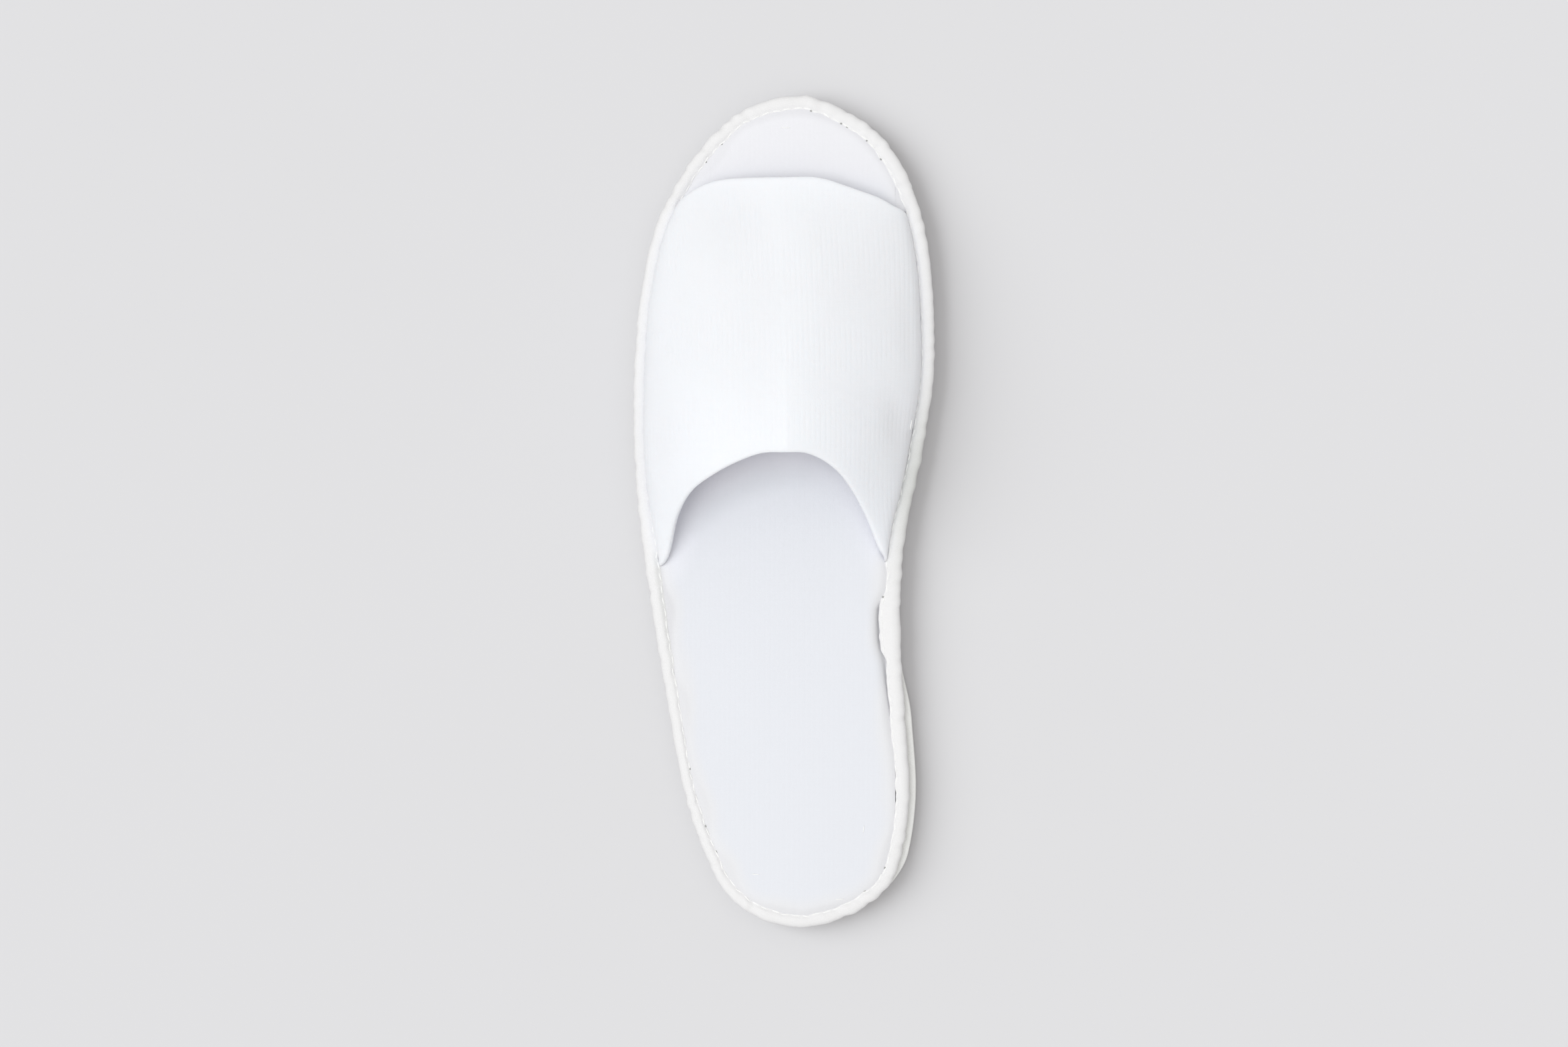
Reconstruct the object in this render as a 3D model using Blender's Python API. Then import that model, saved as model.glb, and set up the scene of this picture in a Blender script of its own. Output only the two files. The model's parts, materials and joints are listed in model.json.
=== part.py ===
"""An open-toe hotel slipper for the left foot: outsole, footbed, edge binding and vamp.

Lengths are metres and +Z is up. The toe points along +Y and the arch side faces +X. The origin lies on
the floor, under the middle of the slipper. Each piece is one closed solid, a small gap from the next.
"""

import math
from typing import Callable, NamedTuple

import bmesh
import bpy
import numpy as np

MM = 0.001
LATERAL, MEDIAL = -1, 1

# Driving sizes
LENGTH = 285 * MM
BALL_WIDTH = 103.4 * MM
GAP = 0.3 * MM

OUTSOLE_THICKNESS = 4.0 * MM
OUTSOLE_CHAMFER = 0.6 * MM
OUTSOLE_SET_IN = 0.5 * MM
HEEL_FLARE = 2.8 * MM

TAPE = 0.9 * MM
TAPE_LIP = 6.0 * MM
TAPE_HEIGHT = 4.8 * MM
TAPE_BEND = 1.1 * MM
TAPE_INNER_BEND = 0.5 * MM
TAPE_TIP = 0.3 * MM

CUSHION = 4.7 * MM
CUSHION_CROWN = 0.8 * MM
RIM_CORNER = 0.4 * MM
UNDERSIDE_SLOPE = 1.0 * MM
CLEAR_OF_CREASE = 2.1 * MM

WALL = 2.4 * MM
MARGIN = 0.9 * MM
MARGIN_REACH = 1.5 * MM
CREASE_STEP = 0.7 * MM
CREASE_RISE = 1.8 * MM
CREASE_WALL = 1.15 * MM

# Heights above the floor, from the driving sizes
TAPE_BOTTOM = OUTSOLE_THICKNESS + GAP
TAPE_TOP = TAPE_BOTTOM + TAPE_HEIGHT
RIM_BOTTOM = TAPE_BOTTOM + TAPE + GAP
RIM_TOP_FREE = TAPE_TOP - TAPE - GAP
RIM_TOP_UNDER_VAMP = RIM_TOP_FREE - MARGIN - GAP
CUSHION_TOP = TAPE_BOTTOM + CUSHION
MARGIN_HEIGHT = RIM_TOP_FREE - MARGIN / 2

# Where the heel's flare and the vamp's cover begin and end, as shares of the length
FLARE_STARTS = (0.045, 0.11)
FLARE_ENDS = (0.20, 0.28)
COVER_RAMP = (0.030, 0.065)

# The lateral wall leans out most at a third of the climb, where share * (1 - share) ** 2 is 4 / 27
LEAN_PEAK = 4 / 27
# The wall has its full thickness where the sine of its turn passes this
FULL_WALL_CLIMB = 0.35
SHARP_ANGLE = math.radians(40)

# How finely the curves are cut
OUTLINE_STEPS = 60
CURVE_STEPS = 40
CUSHION_COLUMNS = 6
VAMP_ROWS = 18
ARCH_COLUMNS = 32


class Outline(NamedTuple):
    """A cross-section of the sole: shares of the length and of the ball width."""

    along: float
    lateral: float
    medial: float


HEEL_TIP = 0.058
TOE_TIP = 0.056
OUTLINE = (
    Outline(0.009, 0.068, 0.176),
    Outline(0.028, 0.158, 0.279),
    Outline(0.060, 0.228, 0.359),
    Outline(0.151, 0.321, 0.409),
    Outline(0.263, 0.383, 0.402),
    Outline(0.375, 0.436, 0.385),
    Outline(0.474, 0.475, 0.403),
    Outline(0.568, 0.497, 0.457),
    Outline(0.667, 0.498, 0.496),
    Outline(0.761, 0.476, 0.493),
    Outline(0.842, 0.427, 0.465),
    Outline(0.905, 0.341, 0.406),
    Outline(0.954, 0.235, 0.314),
    Outline(0.986, 0.122, 0.180),
)


class Fold(NamedTuple):
    """How far the binding's upper fold reaches in from the edge, in mm, at a share of the length."""

    along: float
    lateral: float
    medial: float


FOLD = (
    Fold(0.00, 4.5, 4.5),
    Fold(0.10, 4.2, 4.4),
    Fold(0.20, 4.0, 4.8),
    Fold(0.28, 4.6, 6.6),
    Fold(0.38, 4.8, 7.0),
    Fold(0.44, 5.8, 5.6),
    Fold(0.50, 6.0, 4.8),
    Fold(0.65, 5.6, 4.6),
    Fold(0.80, 5.0, 4.8),
    Fold(0.90, 4.8, 5.2),
    Fold(1.00, 5.0, 5.0),
)


class Arch(NamedTuple):
    """A cross-section of the vamp at a share of the length, in mm.

    rise is from the crease to the crown, crown is the crown's place across, and lean is how far the
    lateral wall bellies out over the binding.
    """

    along: float
    rise: float
    crown: float
    lean: float


ARCH = (
    Arch(0.430, 27.0, 1.5, 0.2),
    Arch(0.465, 27.0, 1.5, 3.4),
    Arch(0.500, 26.8, 1.4, 6.6),
    Arch(0.572, 26.0, 1.2, 5.8),
    Arch(0.680, 22.8, 0.6, 5.0),
    Arch(0.790, 17.2, 0.0, 4.2),
    Arch(0.860, 11.6, -0.5, 2.6),
    Arch(0.905, 8.0, -1.0, 1.0),
)


class Setback(NamedTuple):
    """How far an end of the vamp lies behind its crown, in mm, at a share of the climb from crease to crown."""

    climb: float
    lateral: float
    medial: float


TOE_CROWN = 0.896
TOE_EDGE = (
    Setback(0.00, 9.7, 11.4),
    Setback(0.25, 7.4, 9.7),
    Setback(0.50, 2.9, 5.7),
    Setback(0.75, 0.4, 1.7),
    Setback(1.00, 0.0, 0.0),
)
COLLAR_CROWN = 0.569
COLLAR_EDGE = (
    Setback(0.00, 38.4, 38.0),
    Setback(0.25, 35.0, 32.4),
    Setback(0.40, 30.2, 24.9),
    Setback(0.50, 22.3, 19.0),
    Setback(0.60, 12.4, 12.9),
    Setback(0.75, 4.2, 4.6),
    Setback(0.88, 0.6, 0.4),
    Setback(1.00, 0.0, 0.0),
)


def clear_scene() -> None:
    """Remove every object that the file opened with."""
    for obj in list(bpy.data.objects):
        bpy.data.objects.remove(obj, do_unlink=True)


def smooth(value: float, start: float, end: float) -> float:
    """0 before start, 1 after end, and an even S between them."""
    share = min(max((value - start) / (end - start), 0.0), 1.0)
    return share * share * (3 - 2 * share)


def column(table: tuple, name: str, place: float) -> float:
    """A column of a table at a place in its first column, on a smooth curve through the rows."""
    stops = [row[0] for row in table]
    values = [getattr(row, name) for row in table]
    place = min(max(place, stops[0]), stops[-1])
    slopes = np.gradient(values, stops)
    k = min(max(int(np.searchsorted(stops, place)) - 1, 0), len(stops) - 2)
    span = stops[k + 1] - stops[k]
    t = (place - stops[k]) / span
    bend = t * t * (3 - 2 * t)
    lift = span * t * (1 - t) * ((1 - t) * slopes[k] - t * slopes[k + 1])
    return values[k] * (1 - bend) + values[k + 1] * bend + lift


def closed_curve(corners: np.ndarray) -> np.ndarray:
    """A smooth closed curve through the corners, whose tangent at each is parallel to its neighbours' chord."""
    ahead = np.roll(corners, -1, axis=0)
    span = np.linalg.norm(ahead - corners, axis=1)[:, None]
    tangent = (ahead - np.roll(corners, 1, axis=0)) / (span + np.roll(span, 1, axis=0))
    next_tangent = np.roll(tangent, -1, axis=0)
    points = []
    for t in np.linspace(0, 1, CURVE_STEPS, endpoint=False):
        bend = t * t * (3 - 2 * t)
        start = (corners * (1 - bend) + ahead * bend)
        start = start + span * t * (1 - t) * ((1 - t) * tangent - t * next_tangent)
        points.append(start)
    return np.stack(points, axis=1).reshape(-1, 2)


class Edge:
    """The slipper's outline, read at any distance along either side."""

    def __init__(self) -> None:
        corners = [(HEEL_TIP * BALL_WIDTH, 0.0)]
        corners += [(row.medial * BALL_WIDTH, row.along * LENGTH) for row in OUTLINE]
        corners += [(TOE_TIP * BALL_WIDTH, LENGTH)]
        corners += [(-row.lateral * BALL_WIDTH, row.along * LENGTH) for row in reversed(OUTLINE)]
        curve = closed_curve(np.array(corners))
        low, high = curve.min(axis=0), curve.max(axis=0)
        curve = (curve - (low + high) / 2) * np.array((BALL_WIDTH, LENGTH)) / (high - low)
        curve = np.roll(curve, -int(curve[:, 1].argmin()), axis=0)
        tangent = np.roll(curve, -1, axis=0) - np.roll(curve, 1, axis=0)
        tangent /= np.linalg.norm(tangent, axis=1)[:, None]
        outward = np.stack((tangent[:, 1], -tangent[:, 0]), axis=1)
        toe = int(curve[:, 1].argmax())
        rows = np.concatenate((curve, outward), axis=1)
        self.sides = {MEDIAL: rows[: toe + 1], LATERAL: np.vstack((rows[:1], rows[:toe - 1:-1]))}

    def at(self, side: int, y: float) -> tuple[float, float, float]:
        """x of the outline at y on one side, and its outward direction there."""
        rows = self.sides[side]
        return tuple(float(np.interp(y, rows[:, 1], rows[:, k])) for k in (0, 2, 3))


class Station(NamedTuple):
    """A place on the outline."""

    side: int
    along: float
    x: float
    y: float
    out_x: float
    out_y: float


def walk(edge: Edge) -> list[Station]:
    """Stations right round the outline: heel, medial side, toe, lateral side."""
    stops = [(MEDIAL, k) for k in range(OUTLINE_STEPS + 1)]
    stops += [(LATERAL, k) for k in range(OUTLINE_STEPS - 1, 0, -1)]
    stations = []
    for side, k in stops:
        y = -LENGTH / 2 * math.cos(math.pi * k / OUTLINE_STEPS)
        x, out_x, out_y = edge.at(side, y)
        if k in (0, OUTLINE_STEPS):
            out_x, out_y = 0.0, math.copysign(1.0, y)
        stations.append(Station(side, y / LENGTH + 0.5, x, y, out_x, out_y))
    return stations


def side_name(side: int) -> str:
    """The name of a side's column in the tables."""
    return "medial" if side == MEDIAL else "lateral"


def fold_reach(side: int, along: float) -> float:
    """How far the binding's upper fold reaches in from the edge."""
    return column(FOLD, side_name(side), along) * MM


def vamp_cover(along: float) -> float:
    """1 beside the vamp and 0 well clear of it, where the footbed's rim is free to stand higher."""
    back = COLLAR_CROWN - COLLAR_EDGE[0].lateral * MM / LENGTH
    front = TOE_CROWN - TOE_EDGE[0].lateral * MM / LENGTH
    near, far = COVER_RAMP
    return smooth(along, back - far, back - near) * (1 - smooth(along, front + near, front + far))


def heel_flare(station: Station) -> float:
    """How far the outsole stands out past its usual edge, on the arch side of the heel."""
    if station.side == LATERAL:
        return 0.0
    return HEEL_FLARE * smooth(station.along, *FLARE_STARTS) * (1 - smooth(station.along, *FLARE_ENDS))


def ring(stations: list[Station], inset: Callable, height: Callable) -> list[tuple[float, float, float]]:
    """A loop of points set in from the outline, each at its own height."""
    points = []
    for station in stations:
        reach = inset(station)
        points.append((station.x - reach * station.out_x, station.y - reach * station.out_y, height(station)))
    return points


def bands(start: int, rings: int, count: int) -> list[tuple[int, ...]]:
    """Quads between successive loops of points."""
    faces = []
    for row in range(rings - 1):
        for k in range(count):
            low, high = start + row * count, start + (row + 1) * count
            faces.append((low + k, low + (k + 1) % count, high + (k + 1) % count, high + k))
    return faces


def crosswise_cap(first: int, count: int) -> list[tuple[int, ...]]:
    """Faces that close a loop by joining each medial point to its lateral twin."""
    faces = [(first, first + 1, first + count - 1)]
    for k in range(1, count // 2 - 1):
        faces.append((first + k, first + k + 1, first + count - k - 1, first + count - k))
    toe = first + count // 2
    faces.append((toe - 1, toe, toe + 1))
    return faces


def make_object(name: str, points: list, faces: list, finish: bpy.types.Material) -> bpy.types.Object:
    """A closed solid from its points and faces, with its faces turned outward."""
    mesh = bpy.data.meshes.new(name)
    shape = bmesh.new()
    corners = [shape.verts.new(point) for point in points]
    for face in faces:
        shape.faces.new([corners[k] for k in face])
    bmesh.ops.recalc_face_normals(shape, faces=shape.faces)
    shape.to_mesh(mesh)
    shape.free()
    mesh.shade_smooth()
    mesh.set_sharp_from_angle(angle=SHARP_ANGLE)
    mesh.materials.append(finish)
    obj = bpy.data.objects.new(name, mesh)
    bpy.context.scene.collection.objects.link(obj)
    return obj


def make_finish(name: str, colour: tuple[float, float, float], roughness: float) -> bpy.types.Material:
    """A plain non-metal finish."""
    finish = bpy.data.materials.new(name)
    finish.use_nodes = True
    shader = finish.node_tree.nodes["Principled BSDF"]
    shader.inputs["Base Color"].default_value = (*colour, 1.0)
    shader.inputs["Roughness"].default_value = roughness
    shader.inputs["Metallic"].default_value = 0.0
    return finish


def make_outsole(stations: list[Station]) -> bpy.types.Object:
    """The flat EVA sheet that stands on the floor, with its edges just broken."""
    profile = (
        (OUTSOLE_CHAMFER, 0.0),
        (0.0, OUTSOLE_CHAMFER),
        (0.0, OUTSOLE_THICKNESS - OUTSOLE_CHAMFER),
        (OUTSOLE_CHAMFER, OUTSOLE_THICKNESS),
    )
    points = []
    for set_in, height in profile:
        points += ring(
            stations,
            lambda station, set_in=set_in: OUTSOLE_SET_IN + set_in - heel_flare(station),
            lambda station, height=height: height,
        )
    count = len(stations)
    faces = bands(0, len(profile), count)
    faces += crosswise_cap(0, count)
    faces += crosswise_cap((len(profile) - 1) * count, count)
    return make_object("outsole", points, faces, make_finish("eva_white", (0.83, 0.83, 0.81), 0.6))


class Shoulder(NamedTuple):
    """A step of the cushion's rounded shoulder: mm in from its foot, and its share of the cushion's rise."""

    reach: float
    share: float


SHOULDER = (
    Shoulder(0.0, 0.0),
    Shoulder(0.6, 0.5),
    Shoulder(1.6, 0.86),
    Shoulder(3.2, 1.0),
)


def cushion_rings(stations: list[Station]) -> list[tuple[float, float, float]]:
    """The footbed's loops: underside, bound rim and the cushion's shoulder."""

    def rim_top(station: Station) -> float:
        return RIM_TOP_FREE + (RIM_TOP_UNDER_VAMP - RIM_TOP_FREE) * vamp_cover(station.along)

    def shoulder(station: Station, reach: float) -> float:
        clear = GAP + CLEAR_OF_CREASE * vamp_cover(station.along)
        return fold_reach(station.side, station.along) + clear + reach * MM

    def shoulder_height(share: float) -> Callable:
        return lambda station: rim_top(station) + share * (CUSHION_TOP - rim_top(station))

    side = TAPE + GAP
    lip = TAPE_LIP + GAP
    points = ring(stations, lambda s: lip + UNDERSIDE_SLOPE, lambda s: TAPE_BOTTOM)
    points += ring(stations, lambda s: lip, lambda s: RIM_BOTTOM)
    points += ring(stations, lambda s: side + RIM_CORNER, lambda s: RIM_BOTTOM)
    points += ring(stations, lambda s: side, lambda s: RIM_BOTTOM + RIM_CORNER)
    points += ring(stations, lambda s: side, lambda s: rim_top(s) - RIM_CORNER)
    points += ring(stations, lambda s: side + RIM_CORNER, rim_top)
    for step in SHOULDER:
        points += ring(stations, lambda s, reach=step.reach: shoulder(s, reach), shoulder_height(step.share))
    return points


def make_footbed(stations: list[Station]) -> bpy.types.Object:
    """The cushioned insole, pressed thin round its rim and faintly crowned in the middle."""
    count = len(stations)
    points = cushion_rings(stations)
    rings = len(points) // count
    last = (rings - 1) * count
    faces = bands(0, rings, count) + crosswise_cap(0, count)
    half = count // 2
    rows = [[last] * (CUSHION_COLUMNS + 1)]
    for k in range(1, half):
        medial, lateral = np.array(points[last + k]), np.array(points[last + count - k])
        row = [last + k]
        for step in range(1, CUSHION_COLUMNS):
            share = step / CUSHION_COLUMNS
            x, y, z = medial + (lateral - medial) * share
            width_share = min(1.0, (medial[0] - lateral[0]) / (BALL_WIDTH / 2))
            row.append(len(points))
            points.append((x, y, z + CUSHION_CROWN * width_share * math.sin(math.pi * share)))
        rows.append([*row, last + count - k])
    rows.append([last + half] * (CUSHION_COLUMNS + 1))
    for low, high in zip(rows, rows[1:]):
        for k in range(CUSHION_COLUMNS):
            corners = (low[k], low[k + 1], high[k + 1], high[k])
            faces.append(tuple(dict.fromkeys(corners)))
    return make_object("footbed", points, faces, make_finish("footbed_cloth", (0.84, 0.855, 0.87), 0.9))


def make_binding(stations: list[Station]) -> bpy.types.Object:
    """The tape folded round the footbed's edge: lower lip, outer wall and upper fold, as one closed loop."""
    bend, inner_bend, tip = TAPE_BEND, TAPE_INNER_BEND, TAPE_TIP
    under, over = TAPE_BOTTOM, TAPE_TOP
    lip = (
        (TAPE_LIP, under + TAPE),
        (TAPE_LIP, under),
        (bend, under),
        (0.3 * bend, under + 0.3 * bend),
        (0.0, under + bend),
        (0.0, over - bend),
        (0.3 * bend, over - 0.3 * bend),
        (bend, over),
    )
    hidden = (
        (TAPE + inner_bend, over - TAPE),
        (TAPE, over - TAPE - inner_bend),
        (TAPE, under + TAPE + inner_bend),
        (TAPE + inner_bend, under + TAPE),
    )
    points = []
    for inset, height in lip:
        points += ring(stations, lambda s, inset=inset: inset, lambda s, height=height: height)
    for short, height in ((tip, over), (0.0, over - tip), (0.0, over - TAPE + tip), (tip, over - TAPE)):
        points += ring(
            stations,
            lambda s, short=short: fold_reach(s.side, s.along) - short,
            lambda s, height=height: height,
        )
    for inset, height in hidden:
        points += ring(stations, lambda s, inset=inset: inset, lambda s, height=height: height)
    count = len(stations)
    rings = len(points) // count
    faces = bands(0, rings, count)
    last = (rings - 1) * count
    for k in range(count):
        faces.append((last + k, last + (k + 1) % count, (k + 1) % count, k))
    return make_object("edge_binding", points, faces, make_finish("binding_tape", (0.87, 0.86, 0.83), 0.75))


class Fibre(NamedTuple):
    """A line that runs the length of the vamp: its side, the steps before the crease, its turn over the arch."""

    side: int
    inset: float
    height: float
    turn: float
    thickness: float


class Bend(NamedTuple):
    """A step of the bend from margin to wall, in mm: short of the crease, and above the margin."""

    short: float
    rise: float


CREASE_BEND = (
    Bend(1.90, 0.00),
    Bend(0.75, 0.18),
    Bend(0.13, 0.85),
)


def fibres() -> list[Fibre]:
    """The vamp's lengthwise lines, from the lateral margin over the arch to the medial margin.

    Before the crease, inset is measured from the fold's inner edge or, for the outermost, from the
    slipper's edge. turn runs from 0 at the lateral crease to pi at the medial one.
    """
    crease = GAP + CREASE_STEP
    margin = [Fibre(LATERAL, -math.inf, MARGIN_HEIGHT, 0.0, MARGIN)]
    for step in CREASE_BEND:
        height = MARGIN_HEIGHT + step.rise * MM
        margin.append(Fibre(LATERAL, crease - step.short * MM, height, 0.0, MARGIN))
    arch = []
    for k in range(ARCH_COLUMNS + 1):
        turn = math.pi * k / ARCH_COLUMNS
        fullness = smooth(math.sin(turn), 0.0, FULL_WALL_CLIMB)
        thickness = CREASE_WALL + (WALL - CREASE_WALL) * fullness
        arch.append(Fibre(LATERAL if 2 * k < ARCH_COLUMNS else MEDIAL, crease, 0.0, turn, thickness))
    medial = [fibre._replace(side=MEDIAL, turn=math.pi) for fibre in reversed(margin)]
    return margin + arch + medial


def cut_line(crown: float, edge_table: tuple, turn: float) -> float:
    """How far along the slipper an end of the vamp lies, at a turn over its arch."""
    side = LATERAL if turn < math.pi / 2 else MEDIAL
    climb = 1 - abs(turn / (math.pi / 2) - 1)
    return (crown - 0.5) * LENGTH - column(edge_table, side_name(side), climb) * MM


def vamp_point(edge: Edge, fibre: Fibre, y: float) -> tuple[float, float, float]:
    """A point in the middle of the vamp's wall."""
    along = y / LENGTH + 0.5
    x, out_x, _ = edge.at(fibre.side, y)
    reach = fold_reach(fibre.side, along) + fibre.inset
    if math.isinf(fibre.inset):
        reach = MARGIN_REACH
    foot = x - reach / out_x
    if fibre.height:
        return foot, y, fibre.height
    crown = column(ARCH, "crown", along) * MM
    rise = column(ARCH, "rise", along) * MM
    across = abs(math.cos(fibre.turn))
    climb = math.sin(fibre.turn)
    place = crown + (foot - crown) * across
    if fibre.side == LATERAL:
        share = fibre.turn / (math.pi / 2)
        belly = share * (1 - share) ** 2 / LEAN_PEAK
        place -= column(ARCH, "lean", along) * MM * belly
    return place, y, MARGIN_HEIGHT + CREASE_RISE + rise * climb


def make_vamp(edge: Edge) -> bpy.types.Object:
    """The upper: an arched wall, open at toe and collar and underneath, with a flat margin at each side."""
    lines = fibres()
    middle = np.empty((VAMP_ROWS + 1, len(lines), 3))
    for column_index, fibre in enumerate(lines):
        back = cut_line(COLLAR_CROWN, COLLAR_EDGE, fibre.turn)
        front = cut_line(TOE_CROWN, TOE_EDGE, fibre.turn)
        for row in range(VAMP_ROWS + 1):
            y = back + (front - back) * row / VAMP_ROWS
            middle[row, column_index] = vamp_point(edge, fibre, y)
    outward = np.cross(np.gradient(middle, axis=0), np.gradient(middle, axis=1))
    outward /= -np.linalg.norm(outward, axis=2)[:, :, None]
    half_wall = np.array([fibre.thickness for fibre in lines])[None, :, None] / 2
    outer, inner = middle + outward * half_wall, middle - outward * half_wall
    rows, columns = VAMP_ROWS + 1, len(lines)
    points = [tuple(point) for point in np.concatenate((outer, inner)).reshape(-1, 3)]
    shift = rows * columns
    faces = []
    for row in range(rows - 1):
        for k in range(columns - 1):
            corner = row * columns + k
            quad = (corner, corner + 1, corner + columns + 1, corner + columns)
            faces += [quad, tuple(shift + c for c in quad)]
    border = [k for k in range(columns)]
    border += [row * columns + columns - 1 for row in range(1, rows)]
    border += [(rows - 1) * columns + k for k in range(columns - 2, -1, -1)]
    border += [row * columns for row in range(rows - 2, 0, -1)]
    for low, high in zip(border, border[1:] + border[:1]):
        faces.append((low, high, shift + high, shift + low))
    return make_object("vamp", points, faces, make_finish("vamp_cloth", (0.9, 0.91, 0.93), 0.9))


def main() -> None:
    """Build the slipper."""
    clear_scene()
    edge = Edge()
    stations = walk(edge)
    make_outsole(stations)
    make_footbed(stations)
    make_binding(stations)
    make_vamp(edge)


main()
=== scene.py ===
"""The looks of an open-toe hotel slipper for the left foot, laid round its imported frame.

Lengths are metres and +Z is up. The toe points along +Y and the arch side faces +X, as in the frame. Tables
give millimetres, or shares of the slipper's length and width, as their rows say.
"""

import json
import logging
import math
from dataclasses import dataclass
from enum import Enum
from typing import Callable, Sequence

import bpy
import numpy as np
from mathutils import Matrix, Vector

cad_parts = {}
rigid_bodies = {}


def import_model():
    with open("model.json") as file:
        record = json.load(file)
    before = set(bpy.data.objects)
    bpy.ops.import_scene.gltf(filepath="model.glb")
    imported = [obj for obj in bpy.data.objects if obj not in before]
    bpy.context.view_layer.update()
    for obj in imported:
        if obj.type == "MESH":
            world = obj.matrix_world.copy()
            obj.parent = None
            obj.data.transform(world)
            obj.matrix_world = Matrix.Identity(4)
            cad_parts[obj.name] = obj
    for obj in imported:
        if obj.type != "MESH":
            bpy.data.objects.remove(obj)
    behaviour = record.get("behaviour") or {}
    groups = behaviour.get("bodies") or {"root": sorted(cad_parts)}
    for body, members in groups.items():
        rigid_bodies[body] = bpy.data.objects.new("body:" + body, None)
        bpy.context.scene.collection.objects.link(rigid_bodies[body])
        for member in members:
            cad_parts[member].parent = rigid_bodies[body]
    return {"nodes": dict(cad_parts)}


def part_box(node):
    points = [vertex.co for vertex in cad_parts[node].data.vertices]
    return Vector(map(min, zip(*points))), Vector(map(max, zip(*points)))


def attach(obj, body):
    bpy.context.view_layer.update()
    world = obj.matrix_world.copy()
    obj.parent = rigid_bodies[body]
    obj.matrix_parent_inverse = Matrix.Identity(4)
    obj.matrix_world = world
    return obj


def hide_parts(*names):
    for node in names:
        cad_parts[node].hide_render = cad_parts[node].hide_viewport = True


MM = 0.001
BODY = "root"
# A cloth's UV map runs from 0 to 1 over this length
UV_UNIT = 100 * MM
# How far light soaks into a cloth that lets it through, and the share of that for red, green and blue
SOAK = 6.0 * MM
SOAK_SHARES = (0.85, 0.95, 1.0)
# How many places the outline has where others are measured against it
FINE_OUTLINE = 1400
# The shape of a rib: 1 is a plain arch, and less is broader on top
RIB_CURVE = 0.7

Colour = tuple[float, float, float]
Span = tuple[float, float]
Piece = bpy.types.Object
Material = bpy.types.Material
Tree = bpy.types.NodeTree
Node = bpy.types.Node
Socket = bpy.types.NodeSocket

log = logging.getLogger("slipper")


class Side(Enum):
    """The two long sides of a left slipper, by the sign of x."""

    LATERAL = -1
    MEDIAL = 1


class End(Enum):
    """The two open ends of the vamp, by the sign of y on the way out."""

    COLLAR = -1
    TOE = 1


class Part(Enum):
    """What is picked on a piece in edit mode."""

    CORNER = "VERT"
    EDGE = "EDGE"
    FACE = "FACE"


class Noted(Enum):
    """What is noted at a cloth's corners, as a share from 0 to 1 that its finish reads."""

    # Painted light under the vamp's collar
    CLEAN = "clean"
    RING = "ring"
    # Painted light towards the toe
    TOE = "toe"
    # Painted shade along the tape's fold
    SEAM = "seam"
    # Painted shade on the vamp's sloping sides
    WORN = "worn"
    # Painted shade on the tape
    GRUBBY = "grubby"


class Slot(Enum):
    """The record's material slots."""

    FOAM = "eva_foam"
    FOOTBED = "footbed_cloth"
    TAPE = "binding_tape"
    VAMP = "vamp_cloth"


# ---- Tables of the form: shares of length and width, or millimetres ----


@dataclass(frozen=True)
class Breadth:
    """The outline at a share of the length: how far each side lies from the axis, in ball widths."""

    at: float
    lateral: float
    medial: float


HEEL_TIP = 0.058
TOE_TIP = 0.056
OUTLINE = (
    Breadth(0.009, 0.068, 0.176),
    Breadth(0.028, 0.158, 0.279),
    Breadth(0.060, 0.228, 0.364),
    Breadth(0.151, 0.323, 0.414),
    Breadth(0.263, 0.384, 0.399),
    Breadth(0.375, 0.436, 0.385),
    Breadth(0.474, 0.475, 0.403),
    Breadth(0.568, 0.497, 0.457),
    Breadth(0.667, 0.498, 0.496),
    Breadth(0.761, 0.476, 0.493),
    Breadth(0.842, 0.427, 0.465),
    Breadth(0.905, 0.341, 0.406),
    Breadth(0.954, 0.235, 0.314),
    Breadth(0.986, 0.122, 0.180),
)


@dataclass(frozen=True)
class Fold:
    """How far the binding's upper fold reaches in from the edge, in mm, at a share of the length."""

    at: float
    lateral: float
    medial: float


FOLDS = (
    Fold(0.00, 4.5, 4.5),
    Fold(0.10, 4.2, 4.4),
    Fold(0.20, 4.0, 4.8),
    Fold(0.30, 4.6, 5.3),
    Fold(0.326, 4.7, 5.6),
    Fold(0.338, 4.7, 6.5),
    Fold(0.366, 4.8, 6.9),
    Fold(0.392, 5.0, 6.6),
    Fold(0.403, 5.1, 5.5),
    Fold(0.44, 5.2, 5.4),
    Fold(0.50, 4.9, 4.8),
    Fold(0.65, 4.6, 4.6),
    Fold(0.80, 4.6, 4.8),
    Fold(0.90, 4.8, 5.2),
    Fold(1.00, 5.0, 5.0),
)


@dataclass(frozen=True)
class Arch:
    """A section of the vamp at a share of the length, in mm.

    rise is the crown's height over the margin and crown its place across. lean is how far the lateral
    cheek leans out, fill how far it bellies up, and sink how far the arch side sags below a plain arch.
    """

    at: float
    rise: float
    crown: float
    lean: float
    fill: float
    sink: float


ARCHES = (
    Arch(0.430, 6.0, 1.5, 0.0, 0.0, 0.0),
    Arch(0.465, 13.0, 2.0, 1.6, 0.0, 2.2),
    Arch(0.500, 20.0, 2.4, 3.6, 0.4, 4.6),
    Arch(0.535, 24.6, 2.6, 4.4, 0.8, 5.4),
    Arch(0.572, 26.2, 2.6, 4.6, 1.0, 4.8),
    Arch(0.680, 22.8, 2.0, 4.2, 1.0, 3.0),
    Arch(0.790, 17.2, 0.8, 3.4, 0.8, 1.4),
    Arch(0.860, 11.6, -0.5, 2.0, -0.6, 0.8),
    Arch(0.905, 8.0, -1.0, 0.8, -1.4, 0.0),
)


@dataclass(frozen=True)
class Setback:
    """How far an end of the vamp lies behind its crown, in mm, at a share of the climb to the crown."""

    at: float
    lateral: float
    medial: float


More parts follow.
